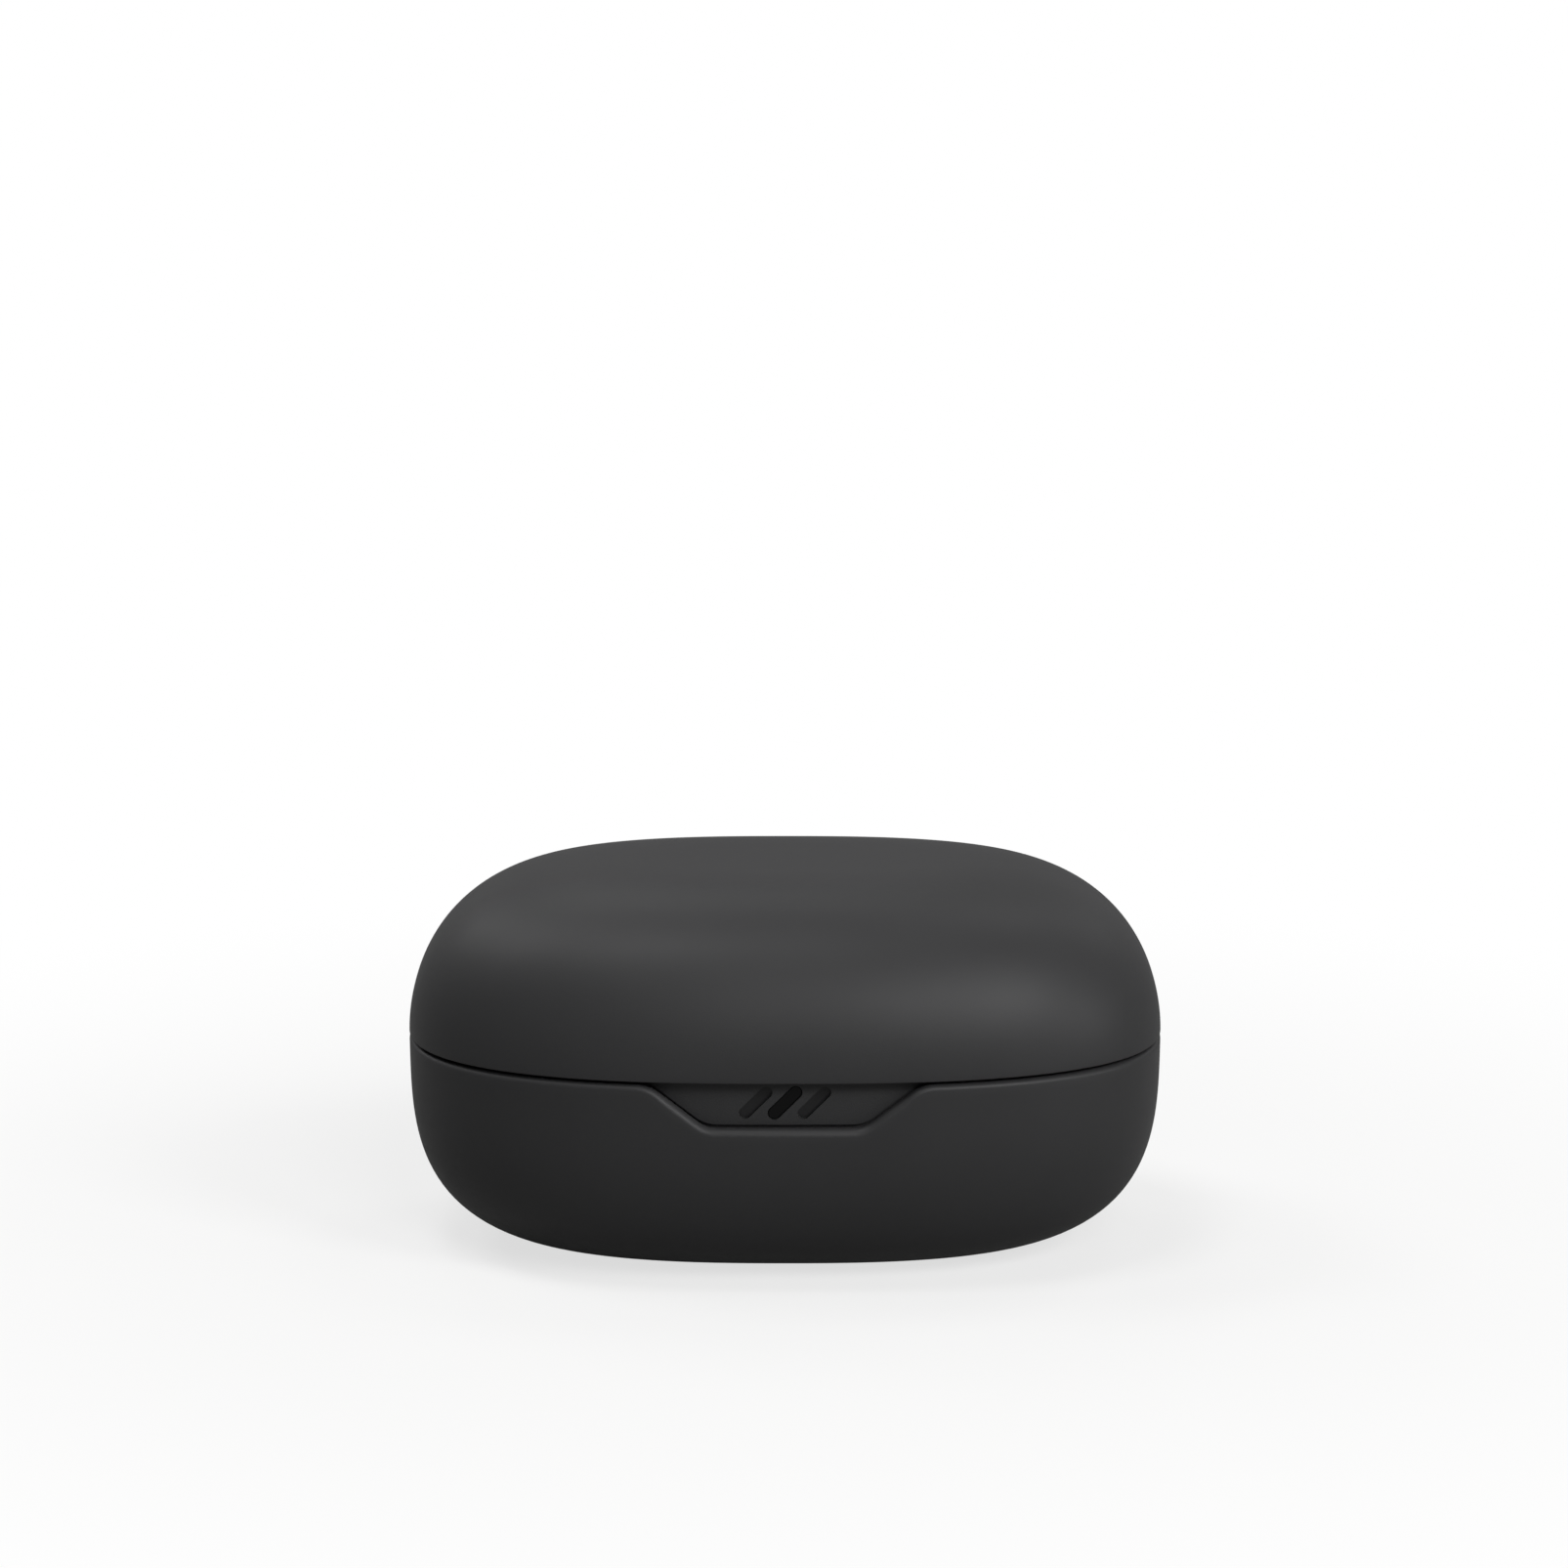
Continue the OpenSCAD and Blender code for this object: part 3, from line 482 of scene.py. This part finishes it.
# Base shell: rings from the middle of the underside up the rounded side, over the rim and down inside
# to the middle of the bowl's floor.
def buildBase():
    turn = columnTurns()
    across, deep = unitOutline(turn)
    columns = len(turn)
    ledge = seam - base["ledgeDrop"]
    wall = shells["wall"]
    outer = {**base, "inset": 0, "start": seam, "end": 0.0}
    bowl = {**base, "inset": base["lowWall"], "draft": 0, "start": ledge, "end": base["floor"]}
    rim = np.full(columns, seam)
    for _ in range(shells["settleRounds"]):
        a, b = halvesAt(outer, rim)
        rim = baseRim(a * across, b * deep)
    trough = (deep > 0) & (np.abs(across * halfWidth) < recessHalf)
    inNotch = np.where(deep < 0, eased(seam - rim, *base["notchBlend"]), 0)
    frontEdge = base["edge"] + (base["notchEdge"] - base["edge"]) * inNotch
    edge = np.where(trough, shells["recessEdge"], frontEdge)
    small = shells["innerEdge"] + (base["notchInner"] - shells["innerEdge"]) * inNotch
    keep = straightness(across)
    # underside, then up the side and round the outer edge
    a, b, z = sideAt(outer, evenAngles(outer, angleAt(outer, rim - edge), base["wallRows"]))
    rows = flatRows(a[-1], b[-1], 0.0, across, deep, base["underShares"])
    wallStart = len(rows)
    rows += rowsOf(a[::-1] * across, b[::-1] * deep, z[::-1])
    arc = np.linspace(0, quarter, base["edgeRows"])[1:, None]
    inset = edge * (1 - np.cos(arc))
    rows += rowsOf((a[0] - inset) * across, (b[0] - inset) * deep, rim - edge * (1 - np.sin(arc)))
    # flat of the rim, from the outer rounding to the inner one
    startX, startY, _ = rows[-1].T
    nearX, nearY = insidePoint(halfWidth - wall + small, halfDepth - wall + small, across, deep, keep)
    share = np.array(base["rimShares"])[:, None]
    x, y = startX * (1 - share) + nearX * share, startY * (1 - share) + nearY * share
    flat = baseRim(x, y)
    rows += rowsOf(x, y, flat)
    # inner rounding, down to the ledge, then the bowl
    arc = np.linspace(0, quarter, base["innerRows"])[1:, None]
    inset = wall - small + small * np.sin(arc)
    x, y = insidePoint(halfWidth - inset, halfDepth - inset, across, deep, keep)
    low = flat[-1] - small * (1 - np.cos(arc))
    rows += rowsOf(x, y, low)
    down = np.array(base["skirtShares"])[:, None]
    rows += rowsOf(x[-1], y[-1], low[-1] * (1 - down) + ledge * down)
    bowlStart = len(rows)
    a, b, z = sideAt(bowl, evenAngles(bowl, np.zeros(columns), base["bowlRows"]))
    rows += rowsOf(a * across, b * deep, z)
    rows += flatRows(a[-1], b[-1], base["floor"], across, deep, base["floorShares"])
    grid = np.array(rows)
    blocks, collars, quads = cutPort(grid, across, deep, wallStart, bowlStart, outer, bowl)
    points = np.concatenate([grid.reshape(-1, 3), [[0, 0, 0], [0, 0, base["floor"]]], collars])
    quads = np.concatenate([gridFaces(len(rows), columns, blocks), *quads])
    return makePiece("baseShell", points, quads, poleFans(len(rows), columns), "base", softTouch,
                     ["base_shell"], "shell_plastic")


baseShell = buildBase()
print("base shell", len(baseShell.data.polygons), "faces")

# Lid shell in mm: a low dome that carries on the base's sides
lid = {
    "roundX": 19.8, "roundY": 16.2, "draft": 0, "powerZ": 2.0, "powerR": 2.84,
    "edge": 0.1, "roof": 1.4,
    "rimDrop": 0.06,             # the rim comes this much closer to the base than in CAD
    "barrel": 1.5, "reliefLength": 6,
    "keepRise": (1, 5),          # rise above the rim over which the inside columns become even rings
    "wallRows": 58, "insideRows": 26, "edgeRows": 8, "innerRows": 4,
    "roofShares": (0.33, 0.66), "topShares": (0.85, 0.6, 0.35, 0.15),   # rings on the flats
    "rimShares": (0.33, 0.67),
}


# Height of the lid's rim: the seam, raised behind where the hinge's barrel and the base's edge swing past,
# a round trough of one radius at the barrel and of a shrinking radius beside it.
def lidRim(x, y):
    swing = math.cos(math.radians(hingeJoint["range_deg"][1]) / 2)
    gap = shells["hingeGap"]
    sideRadius = (outlineDepth(halfWidth, halfDepth, halfHinge) - hingeY) / swing + gap
    along = (np.abs(x) - halfHinge) / lid["reliefLength"]
    beside = np.where(along < 1, sideRadius + (gap - sideRadius) * np.clip(along, 0, 1), 0)
    radius = np.where(np.abs(x) < recessHalf, lid["barrel"] / swing + gap, beside)
    room = np.where(y > 0, radius ** 2 - (y - hingeY) ** 2, 0)
    return np.maximum(lidEdge - lid["rimDrop"], hingeZ + np.sqrt(np.maximum(room, 0)))


# Lid shell: rings from the middle of the roof down inside, across the rim and up the dome to its top.
def buildLid():
    turn = columnTurns()
    across, deep = unitOutline(turn)
    columns = len(turn)
    wall, small, edge = shells["wall"], shells["innerEdge"], lid["edge"]
    roof = lidTop - lid["roof"]
    outer = {**lid, "inset": 0, "start": lidEdge, "end": lidTop}
    inner = {**lid, "inset": wall, "start": lidEdge, "end": roof}
    keepRim = straightness(across)
    rim, inRim = np.full(columns, lidEdge), np.full(columns, lidEdge)
    for _ in range(shells["settleRounds"]):
        a, b = halvesAt(outer, rim)
        rim = lidRim(a * across, b * deep)
        a, b = halvesAt(inner, inRim)
        inRim = lidRim(*insidePoint(a, b, across, deep, keepRim))
    # inside: roof, down the wall and round the rim's inner edge
    a, b, z = sideAt(inner, evenAngles(inner, angleAt(inner, inRim + small), lid["insideRows"]))
    above, whole = lid["keepRise"]
    keep = keepRim * (1 - eased(z, inRim + above, inRim + whole))
    x, y = insidePoint(a, b, across, deep, keep)
    rows = flatRows(a[-1], b[-1], roof, across, deep, lid["roofShares"])
    rows += rowsOf(x[::-1], y[::-1], z[::-1])
    arc = np.linspace(0, quarter, lid["innerRows"])[1:, None]
    grown = small * (1 - np.cos(arc))
    x, y = insidePoint(a[0] + grown, b[0] + grown, across, deep, keepRim)
    rows += rowsOf(x, y, inRim + small * (1 - np.sin(arc)))
    # flat of the rim, out to the outer rounding
    a, b, z = sideAt(outer, evenAngles(outer, angleAt(outer, rim + edge), lid["wallRows"]))
    endX, endY = (a[0] - edge) * across, (b[0] - edge) * deep
    share = np.array(lid["rimShares"])[:, None]
    x, y = x[-1] * (1 - share) + endX * share, y[-1] * (1 - share) + endY * share
    rows += rowsOf(x, y, lidRim(x, y))
    # outer rounding, up the dome and over the top
    arc = np.linspace(quarter, 0, lid["edgeRows"])[:, None]
    inset = edge * (1 - np.cos(arc))
    rows += rowsOf((a[0] - inset) * across, (b[0] - inset) * deep, rim + edge * (1 - np.sin(arc)))
    rows += rowsOf(a[1:] * across, b[1:] * deep, z[1:])
    rows += flatRows(a[-1], b[-1], lidTop, across, deep, lid["topShares"])
    points = np.concatenate([np.array(rows).reshape(-1, 3), [[0, 0, roof], [0, 0, lidTop]]])
    return makePiece("lidShell", points, gridFaces(len(rows), columns), poleFans(len(rows), columns),
                     "lid", softTouch, ["lid_shell"], "shell_plastic")


lidShell = buildLid()
print("lid shell", len(lidShell.data.polygons), "faces")

# How dressed copies are cleaned: points closer than same are one, edges shorter than sliver close up
# before a rounding by boxes, both in mm; faces within flat are one and edges above sharp show, in degrees
cleaning = {"same": 0.002, "sliver": 0.045, "flat": 0.4, "sharp": 32}


# Roundings of a mesh's sharp edges as shares of the largest one: an edge takes the size of the last box
# that holds both its ends, with x counted from the middle to either side.
def edgeShares(mesh, rounds, largest):
    ends = np.empty(len(mesh.edges) * 2, np.int32)
    mesh.edges.foreach_get("vertices", ends)
    co = np.empty(len(mesh.vertices) * 3, np.float32)
    mesh.vertices.foreach_get("co", co)
    at = co.reshape(-1, 3)[ends.reshape(-1, 2)] / mm
    at[..., 0] = np.abs(at[..., 0])
    share = np.zeros(len(mesh.edges), np.float32)
    for low, high, size in rounds.values():
        share[((at > low) & (at < high)).all((1, 2))] = size / largest
    sharp = np.zeros(len(mesh.edges), bool)
    mesh.attributes["sharp_edge"].data.foreach_get("value", sharp)
    return share * sharp


# A dressed copy of a node: doubles merged by rounding the points, flat areas joined, and its edges
# rounded by a Bevel, all of them by one size or those inside boxes by the boxes' sizes.
def dressed(node, name, body, material, slot, rounds, segments=3):
    byBoxes = isinstance(rounds, dict)
    source = nodes[node].data
    co = np.empty(len(source.vertices) * 3, np.float32)
    source.vertices.foreach_get("co", co)
    co = co.reshape(-1, 3)
    source.calc_loop_triangles()
    tri = np.empty(len(source.loop_triangles) * 3, np.int32)
    source.loop_triangles.foreach_get("vertices", tri)
    key = np.round(co / (cleaning["same"] * mm)).astype(np.int64)
    _, first, same = np.unique(key, axis=0, return_index=True, return_inverse=True)
    tri = same.reshape(-1)[tri].reshape(-1, 3)
    whole = (tri[:, 0] != tri[:, 1]) & (tri[:, 1] != tri[:, 2]) & (tri[:, 2] != tri[:, 0])
    points = co[first].astype(np.float64) / mm
    piece = makePiece(name, points, [], tri[whole], body, material, [node], slot)
    shape = bmesh.new()
    shape.from_mesh(piece.data)
    if byBoxes:
        bmesh.ops.remove_doubles(shape, verts=shape.verts, dist=cleaning["sliver"] * mm)
    bmesh.ops.dissolve_limit(shape, angle_limit=math.radians(cleaning["flat"]),
                             verts=shape.verts, edges=shape.edges)
    shape.to_mesh(piece.data)
    shape.free()
    piece.data.shade_smooth()
    piece.data.set_sharp_from_angle(angle=math.radians(cleaning["sharp"]))
    bevel = piece.modifiers.new("edges", "BEVEL")
    bevel.segments = segments
    bevel.harden_normals = True
    if byBoxes:
        largest = max(size for _, _, size in rounds.values())
        weight = piece.data.attributes.new("bevel_weight_edge", "FLOAT", "EDGE")
        weight.data.foreach_set("value", edgeShares(piece.data, rounds, largest))
        bevel.limit_method = "WEIGHT"
        bevel.use_clamp_overlap = False
        bevel.width = largest * mm
    else:
        bevel.limit_method = "ANGLE"
        bevel.angle_limit = math.radians(cleaning["sharp"])
        bevel.width = rounds * mm
    return piece


# Roundings of the tray in mm, each with the box of the edges it takes
trayRounds = {
    "lipTop": ((-1, -19.2, 18.75), (30, 18.6, 18.85), 0.2),
    "wellRims": ((3.5, -15, 18.1), (23, 11, 18.3), 0.4),
    "innerCorners": ((8.3, -2.15, 11.8), (8.5, -1.95, 18.3), 0.4),
    "outerCorners": ((14.15, -5.25, 11.8), (14.4, -5.0, 18.3), 0.4),
    "hingeRoom": ((-1, 16, 18.1), (8, 18, 18.3), 0.15),
    "lugs": ((7.6, 17.7, 16), (11.1, 20.4, 19.2), 0.12),
    "pinBores": ((7.6, 18.4, 17), (11.1, 19.6, 18.2), 0),
}
cradle = dressed("cradle_tray", "cradleTray", "base", tray, "tray_plastic", trayRounds, segments=4)

# Floors of the two blind slots, in mm behind the panel that shows in the notch
panel = {"fit": 0.12, "slotDepth": 0.5, "reach": 4.2, "near": 0.03}


# Gives the tray's faces on the slots' floors the polished finish, whose darker colour is painted shade of
# the recess.
def polishAndShadeSlots():
    mesh = cradle.data
    mesh.materials.append(polishedWithShade)
    centre = np.empty(len(mesh.polygons) * 3, np.float32)
    mesh.polygons.foreach_get("center", centre)
    x, y, z = centre.reshape(-1, 3).T / mm
    floorY = -(halfDepth - shells["wall"] - panel["fit"]) + panel["slotDepth"]
    onFloor = (np.abs(y - floorY) < panel["near"]) & (np.abs(x) < panel["reach"])
    inSlot = onFloor & (z > lidEdge - base["notchDrop"]) & (z < lidEdge)
    mesh.polygons.foreach_set("material_index", inSlot.astype(np.int32))
    print("polished slot floors", inSlot.sum())


polishAndShadeSlots()
# Roundings of the lid's liner and of the light guide, in mm
linerRounds = {
    "rim": ((-1, -19.1, 19.0), (29.6, 17.6, 19.2), 0.2),
    "armFoot": ((-1, 16.3, 19.0), (7.6, 16.5, 19.2), 0),
    "opening": ((-1, -14.2, 19.0), (24.7, 14.2, 19.2), 0.35),
}
guideRounds = {"face": ((-1, -19.0, 14.6), (1.4, -18.9, 17.4), 0.05)}
dressed("lid_liner", "lidLiner", "lid", tray, "tray_plastic", linerRounds, segments=4)
dressed("light_guide", "lightGuide", "base", smoked, "lens_plastic", guideRounds)
dressed("usb_shell", "portShell", "base", steel, "steel", 0.1)
print("tray, liner, light guide and port dressed")

# Charging contacts in mm: a turned barrel with a rounded lip and a plunger with a round tip
contact = {
    "fit": 0.05, "boreFloor": 0.3, "lip": 0.12, "bevel": 0.05,
    "segments": 40, "bevelSteps": 4, "lipSteps": 7, "tipSteps": 14,
    "tipEnd": 86,                # degrees up the round tip at which its last ring lies
}
plungers = [name for name in nodes if name.startswith("contact_") and name != "contact_barrels"]


# Part of a circle in a profile: radius r + size cos a at height z + size sin a.
def corner(r, z, size, first, last, steps):
    a = np.linspace(math.radians(first), math.radians(last), steps)
    return np.stack([r + size * np.cos(a), z + size * np.sin(a)], -1)


# Turned part: a profile of radius and height, from the axis to the axis, carried round an upright axis
# at each place.
def turned(profile, places):
    count = contact["segments"]
    angle = np.linspace(0, 2 * np.pi, count, endpoint=False)
    r, z = profile[1:-1, :1], profile[1:-1, 1:]
    rings = np.stack(np.broadcast_arrays(r * np.cos(angle), r * np.sin(angle), z), -1).reshape(-1, 3)
    one = np.concatenate([rings, [[0, 0, profile[0, 1]], [0, 0, profile[-1, 1]]]])
    points = (np.array(places)[:, None, :] + one).reshape(-1, 3)
    shift = np.arange(len(places))[:, None, None] * len(one)
    quads, fans = gridFaces(len(r), count), poleFans(len(r), count)
    return points, (quads + shift).reshape(-1, 4), (fans + shift).reshape(-1, 3)


# Middle of a node's box, on the ground.
def axisOf(name):
    low, high = nodeBox(name)
    return [(low[0] + high[0]) / 2, (low[1] + high[1]) / 2, 0]


# Plungers and barrels: profiles of a bevelled foot, then a half ball, or a rolled lip round a bore.
def buildContacts():
    bevel, lip = contact["bevel"], contact["lip"]
    few = contact["bevelSteps"]
    low, high = nodeBox(plungers[0])
    pinR = (high[0] - low[0]) / 2
    pin = np.concatenate([[[0, low[2]]],
                          corner(pinR - bevel, low[2] + bevel, bevel, -90, 0, few),
                          corner(0, high[2] - pinR, pinR, 0, contact["tipEnd"], contact["tipSteps"]),
                          [[0, high[2]]]])
    for name in plungers:
        title = name.split("_", 1)[1].title().replace("_", "")
        makePiece("pin" + title, *turned(pin, [axisOf(name)]), name + "_plunger", gold, [name], "gold")
    low, high = nodeBox("contact_barrels")
    barrelR = high[0] - max(axisOf(name)[0] for name in plungers)
    bore = pinR + contact["fit"]
    floorZ = low[2] + contact["boreFloor"]
    barrel = np.concatenate([[[0, low[2]]],
                             corner(barrelR - bevel, low[2] + bevel, bevel, -90, 0, few),
                             corner(barrelR - lip, high[2] - lip, lip, 0, 90, contact["lipSteps"]),
                             corner(bore + bevel, high[2] - bevel, bevel, 90, 180, few),
                             [[bore, floorZ], [0, floorZ]]])
    makePiece("contactBarrels", *turned(barrel, [axisOf(name) for name in plungers]), "base", gold,
              ["contact_barrels"], "gold")


buildContacts()

# Contact pads on the port's tongue in mm: twelve above and twelve below, the power pads longer
pads = {
    "count": 12, "pitch": 0.5, "width": 0.3, "proud": 0.03, "thick": 0.08,
    "lengths": (2.9, 2.4), "front": 0.45, "power": (0, 3, 8, 11),
}


# Boxes from low corners to high corners, each the eight corners of a cube.
def boxes(low, high):
    pick = np.array(np.meshgrid([0, 1], [0, 1], [0, 1], indexing="ij")).reshape(3, 8).T
    points = np.where(pick[None], high[:, None], low[:, None]).reshape(-1, 3)
    sides = np.array([[0, 1, 3, 2], [4, 6, 7, 5], [0, 4, 5, 1], [2, 3, 7, 6], [0, 2, 6, 4], [1, 5, 7, 3]])
    return points, (sides + 8 * np.arange(len(low))[:, None, None]).reshape(-1, 4)


# Pads: boxes at even steps across the tongue, sunk into its two faces and a little proud of them.
def buildPads():
    low, high = nodeBox("usb_tongue")
    k = np.tile(np.arange(pads["count"]), 2)
    upper = np.repeat([1, 0], pads["count"])
    x = (k - (pads["count"] - 1) / 2) * pads["pitch"]
    length = np.where(np.isin(k, pads["power"]), *pads["lengths"])
    z = np.where(upper, high[2] + pads["proud"] - pads["thick"], low[2] - pads["proud"])
    front = np.full(len(k), high[1] - pads["front"])
    first = np.stack([x - pads["width"] / 2, front - length, z], -1)
    last = np.stack([x + pads["width"] / 2, front, z + pads["thick"]], -1)
    points, quads = boxes(first, last)
    piece = makePiece("tonguePads", points, quads, [], "base", gold, [], "gold")
    piece.data.shade_flat()


buildPads()
print("contacts and port pads built")

# Pieces that keep their CAD shape under softened edges: name, finish, slot and rounding in mm
softened = {
    "indicator_led": ("indicatorLamp", lampEpoxy, "led_plastic", 0.08),
    "led_board": ("lampBoard", board, "circuit_board", 0.05),
    "main_board": ("mainBoard", board, "circuit_board", 0.06),
    "usb_tongue": ("portTongue", epoxy, "chip_plastic", 0.12),
    "charge_chip": ("chargeChip", epoxy, "chip_plastic", 0.06),
    "power_inductor": ("powerInductor", ferrite, "ferrite", 0.15),
    "hall_sensor": ("lidSensor", epoxy, "chip_plastic", 0.05),
    "battery_cell": ("batteryPouch", pouch, "foil", 0.6),
    "battery_pad": ("batteryFoam", foam, "foam", 0.1),
    "board_screws": ("boardScrews", steel, "steel", 0.06),
    "tray_magnets": ("trayMagnets", nickel, "nickel", 0.12),
    "earbud_magnets": ("earbudMagnets", nickel, "nickel", 0.12),
    "hinge_pin": ("hingePin", steel, "steel", 0.1),
    "lid_magnets": ("lidMagnets", nickel, "nickel", 0.12),
    "sensor_magnet": ("sensorMagnet", nickel, "nickel", 0.12),
}
onLid = ("lid_magnets", "sensor_magnet")
for node, (name, material, slot, size) in softened.items():
    dressed(node, name, "lid" if node in onLid else "base", material, slot, size)
print("softened", len(softened), "inner pieces")

# The flexible strip and the leads carry on as they are
carried = {"led_flex": flex, "battery_leads": lead}
for name, material in carried.items():
    nodes[name].data.materials.clear()
    nodes[name].data.materials.append(material)

# Studio in metres: pale floor, soft boxes, white surroundings for what the lens sees
studio = {
    "floorSize": 6.0, "floorPaper": "#f2f2f1", "cardBelow": "#959594",
    "whiteNear": 0.7,            # share of plain white in the floor beside the case, 1 further out
    "nearReach": (0.035, 0.13),
    "glossWalls": 0.3, "glossFloor": 0.05,   # how much of the white gloss gets to see
    "ambient": 0.02,
    "boxSize": 0.28, "boxDistance": 0.9, "aimHeight": 0.015,
    "boxes": {                   # turn to the right of the front and rise in degrees, watts
        "rightKey": (45, 32, 3.07), "frontKey": (15, 32, 2.01), "rightLow": (75, 12, 1.22),
        "leftTop": (-45, 72, 1.98), "leftHigh": (-105, 52, 1.4), "leftBack": (-135, 32, 0.54),
        "backLeft": (-165, 52, 0.58), "backRight": (135, 60, 0.56), "backRightLow": (135, 32, 0.26),
    },
}
plainWhite = (1, 1, 1, 1)


# Level of the white that a ray sees: 1 for the lens and glass, the given share for gloss, rest for others.
def seenWhite(tree, gloss, rest):
    path = addNode(tree, "ShaderNodeLightPath", {}, {})
    clear = addNode(tree, "ShaderNodeMath", {"operation": "MAXIMUM"},
                    {0: path.outputs["Is Camera Ray"], 1: path.outputs["Is Transmission Ray"]})
    shiny = addNode(tree, "ShaderNodeMapRange", {},
                    {"Value": path.outputs["Is Glossy Ray"], "To Min": rest, "To Max": gloss})
    level = addNode(tree, "ShaderNodeMapRange", {},
                    {"Value": clear.outputs[0], "To Min": shiny.outputs["Result"], "To Max": 1.0})
    return level.outputs["Result"]


# Paper that the lens sees pale, and as a grey card for light that bounces off it to the case. Its share
# of plain white grows with the distance from the case.
def paperFinish():
    paper = bpy.data.materials.new("mattBackgroundPaper")
    paper.use_nodes = True
    tree = paper.node_tree
    tree.nodes.clear()
    path = addNode(tree, "ShaderNodeLightPath", {}, {})
    tone = addNode(tree, "ShaderNodeMix", {"data_type": "RGBA"},
                   {0: path.outputs["Is Camera Ray"],
                    6: colour(studio["cardBelow"]), 7: colour(studio["floorPaper"])})
    matt = addNode(tree, "ShaderNodeBsdfDiffuse", {}, {"Color": tone.outputs[2]})
    glow = addNode(tree, "ShaderNodeEmission", {}, {"Color": plainWhite, "Strength": 1.0})
    place = addNode(tree, "ShaderNodeTexCoord", {}, {})
    away = addNode(tree, "ShaderNodeVectorMath", {"operation": "LENGTH"}, {0: place.outputs["Object"]})
    near, far = studio["nearReach"]
    white = addNode(tree, "ShaderNodeMapRange", {"interpolation_type": "SMOOTHSTEP"},
                    {"Value": away.outputs["Value"], "From Min": near, "From Max": far,
                     "To Min": studio["whiteNear"], "To Max": 1.0})
    share = addNode(tree, "ShaderNodeMath", {"operation": "MULTIPLY"},
                    {0: seenWhite(tree, studio["glossFloor"], 0.0), 1: white.outputs["Result"]})
    both = addNode(tree, "ShaderNodeMixShader", {},
                   {0: share.outputs[0], 1: matt.outputs[0], 2: glow.outputs[0]})
    addNode(tree, "ShaderNodeOutputMaterial", {}, {"Surface": both.outputs[0]})
    return paper


# Floor, walls and soft boxes, each box on a ball round the case and turned towards it.
def buildStudio():
    half = studio["floorSize"] / 2
    corners = [[-half, -half, 0], [half, -half, 0], [half, half, 0], [-half, half, 0]]
    mesh = bpy.data.meshes.new("floor")
    mesh.from_pydata(corners, [], [[0, 1, 2, 3]])
    mesh.materials.append(paperFinish())
    floor = bpy.data.objects.new("floor", mesh)
    bpy.context.scene.collection.objects.link(floor)
    world = bpy.data.worlds.new("studioWalls")
    world.use_nodes = True
    tree = world.node_tree
    tree.nodes.clear()
    level = seenWhite(tree, studio["glossWalls"], studio["ambient"])
    walls = addNode(tree, "ShaderNodeBackground", {}, {"Color": plainWhite, "Strength": level})
    addNode(tree, "ShaderNodeOutputWorld", {}, {"Surface": walls.outputs[0]})
    bpy.context.scene.world = world
    aim = Vector((0, 0, studio["aimHeight"]))
    for name, (turn, rise, watts) in studio["boxes"].items():
        turn, rise = math.radians(turn), math.radians(rise)
        flat = math.cos(rise)
        away = Vector((math.sin(turn) * flat, -math.cos(turn) * flat, math.sin(rise)))
        lamp = bpy.data.lights.new(name, "AREA")
        lamp.shape = "SQUARE"
        lamp.size = studio["boxSize"]
        lamp.energy = watts
        box = bpy.data.objects.new(name, lamp)
        box.location = aim + away * studio["boxDistance"]
        box.rotation_euler = (-away).to_track_quat("-Z", "Y").to_euler()
        box.visible_camera = False
        bpy.context.scene.collection.objects.link(box)


buildStudio()

# Camera in mm: place from the angle and distance worked out of the photograph, tipped up so that the case
# stands as low in the frame as it does there
lens = {
    "elevation": 14.45, "distance": 500, "aimHeight": 15, "focal": 138.28, "sensor": 36,
    "dropPixels": 277.9, "sidePixels": 1.04, "framePixels": 1605,
    "clip": (10, 20000),
}


# Camera on a circle in front of the case, turned by the angles whose tangents are the pixel shifts over
# the focal length in pixels.
def buildCamera():
    data = bpy.data.cameras.new("camera")
    data.sensor_width = lens["sensor"]
    data.lens = lens["focal"]
    data.clip_start, data.clip_end = (end * mm for end in lens["clip"])
    pixels = lens["focal"] / lens["sensor"] * lens["framePixels"]
    rise = math.radians(lens["elevation"])
    camera = bpy.data.objects.new("camera", data)
    camera.location = (0, -lens["distance"] * mm * math.cos(rise),
                       (lens["aimHeight"] + lens["distance"] * math.sin(rise)) * mm)
    tip = math.atan(lens["dropPixels"] / pixels)
    camera.rotation_euler = (quarter - rise + tip, 0, math.atan(lens["sidePixels"] / pixels))
    bpy.context.scene.collection.objects.link(camera)
    bpy.context.scene.camera = camera


buildCamera()
bpy.context.scene.view_settings.view_transform = "Standard"
print("studio and camera set")
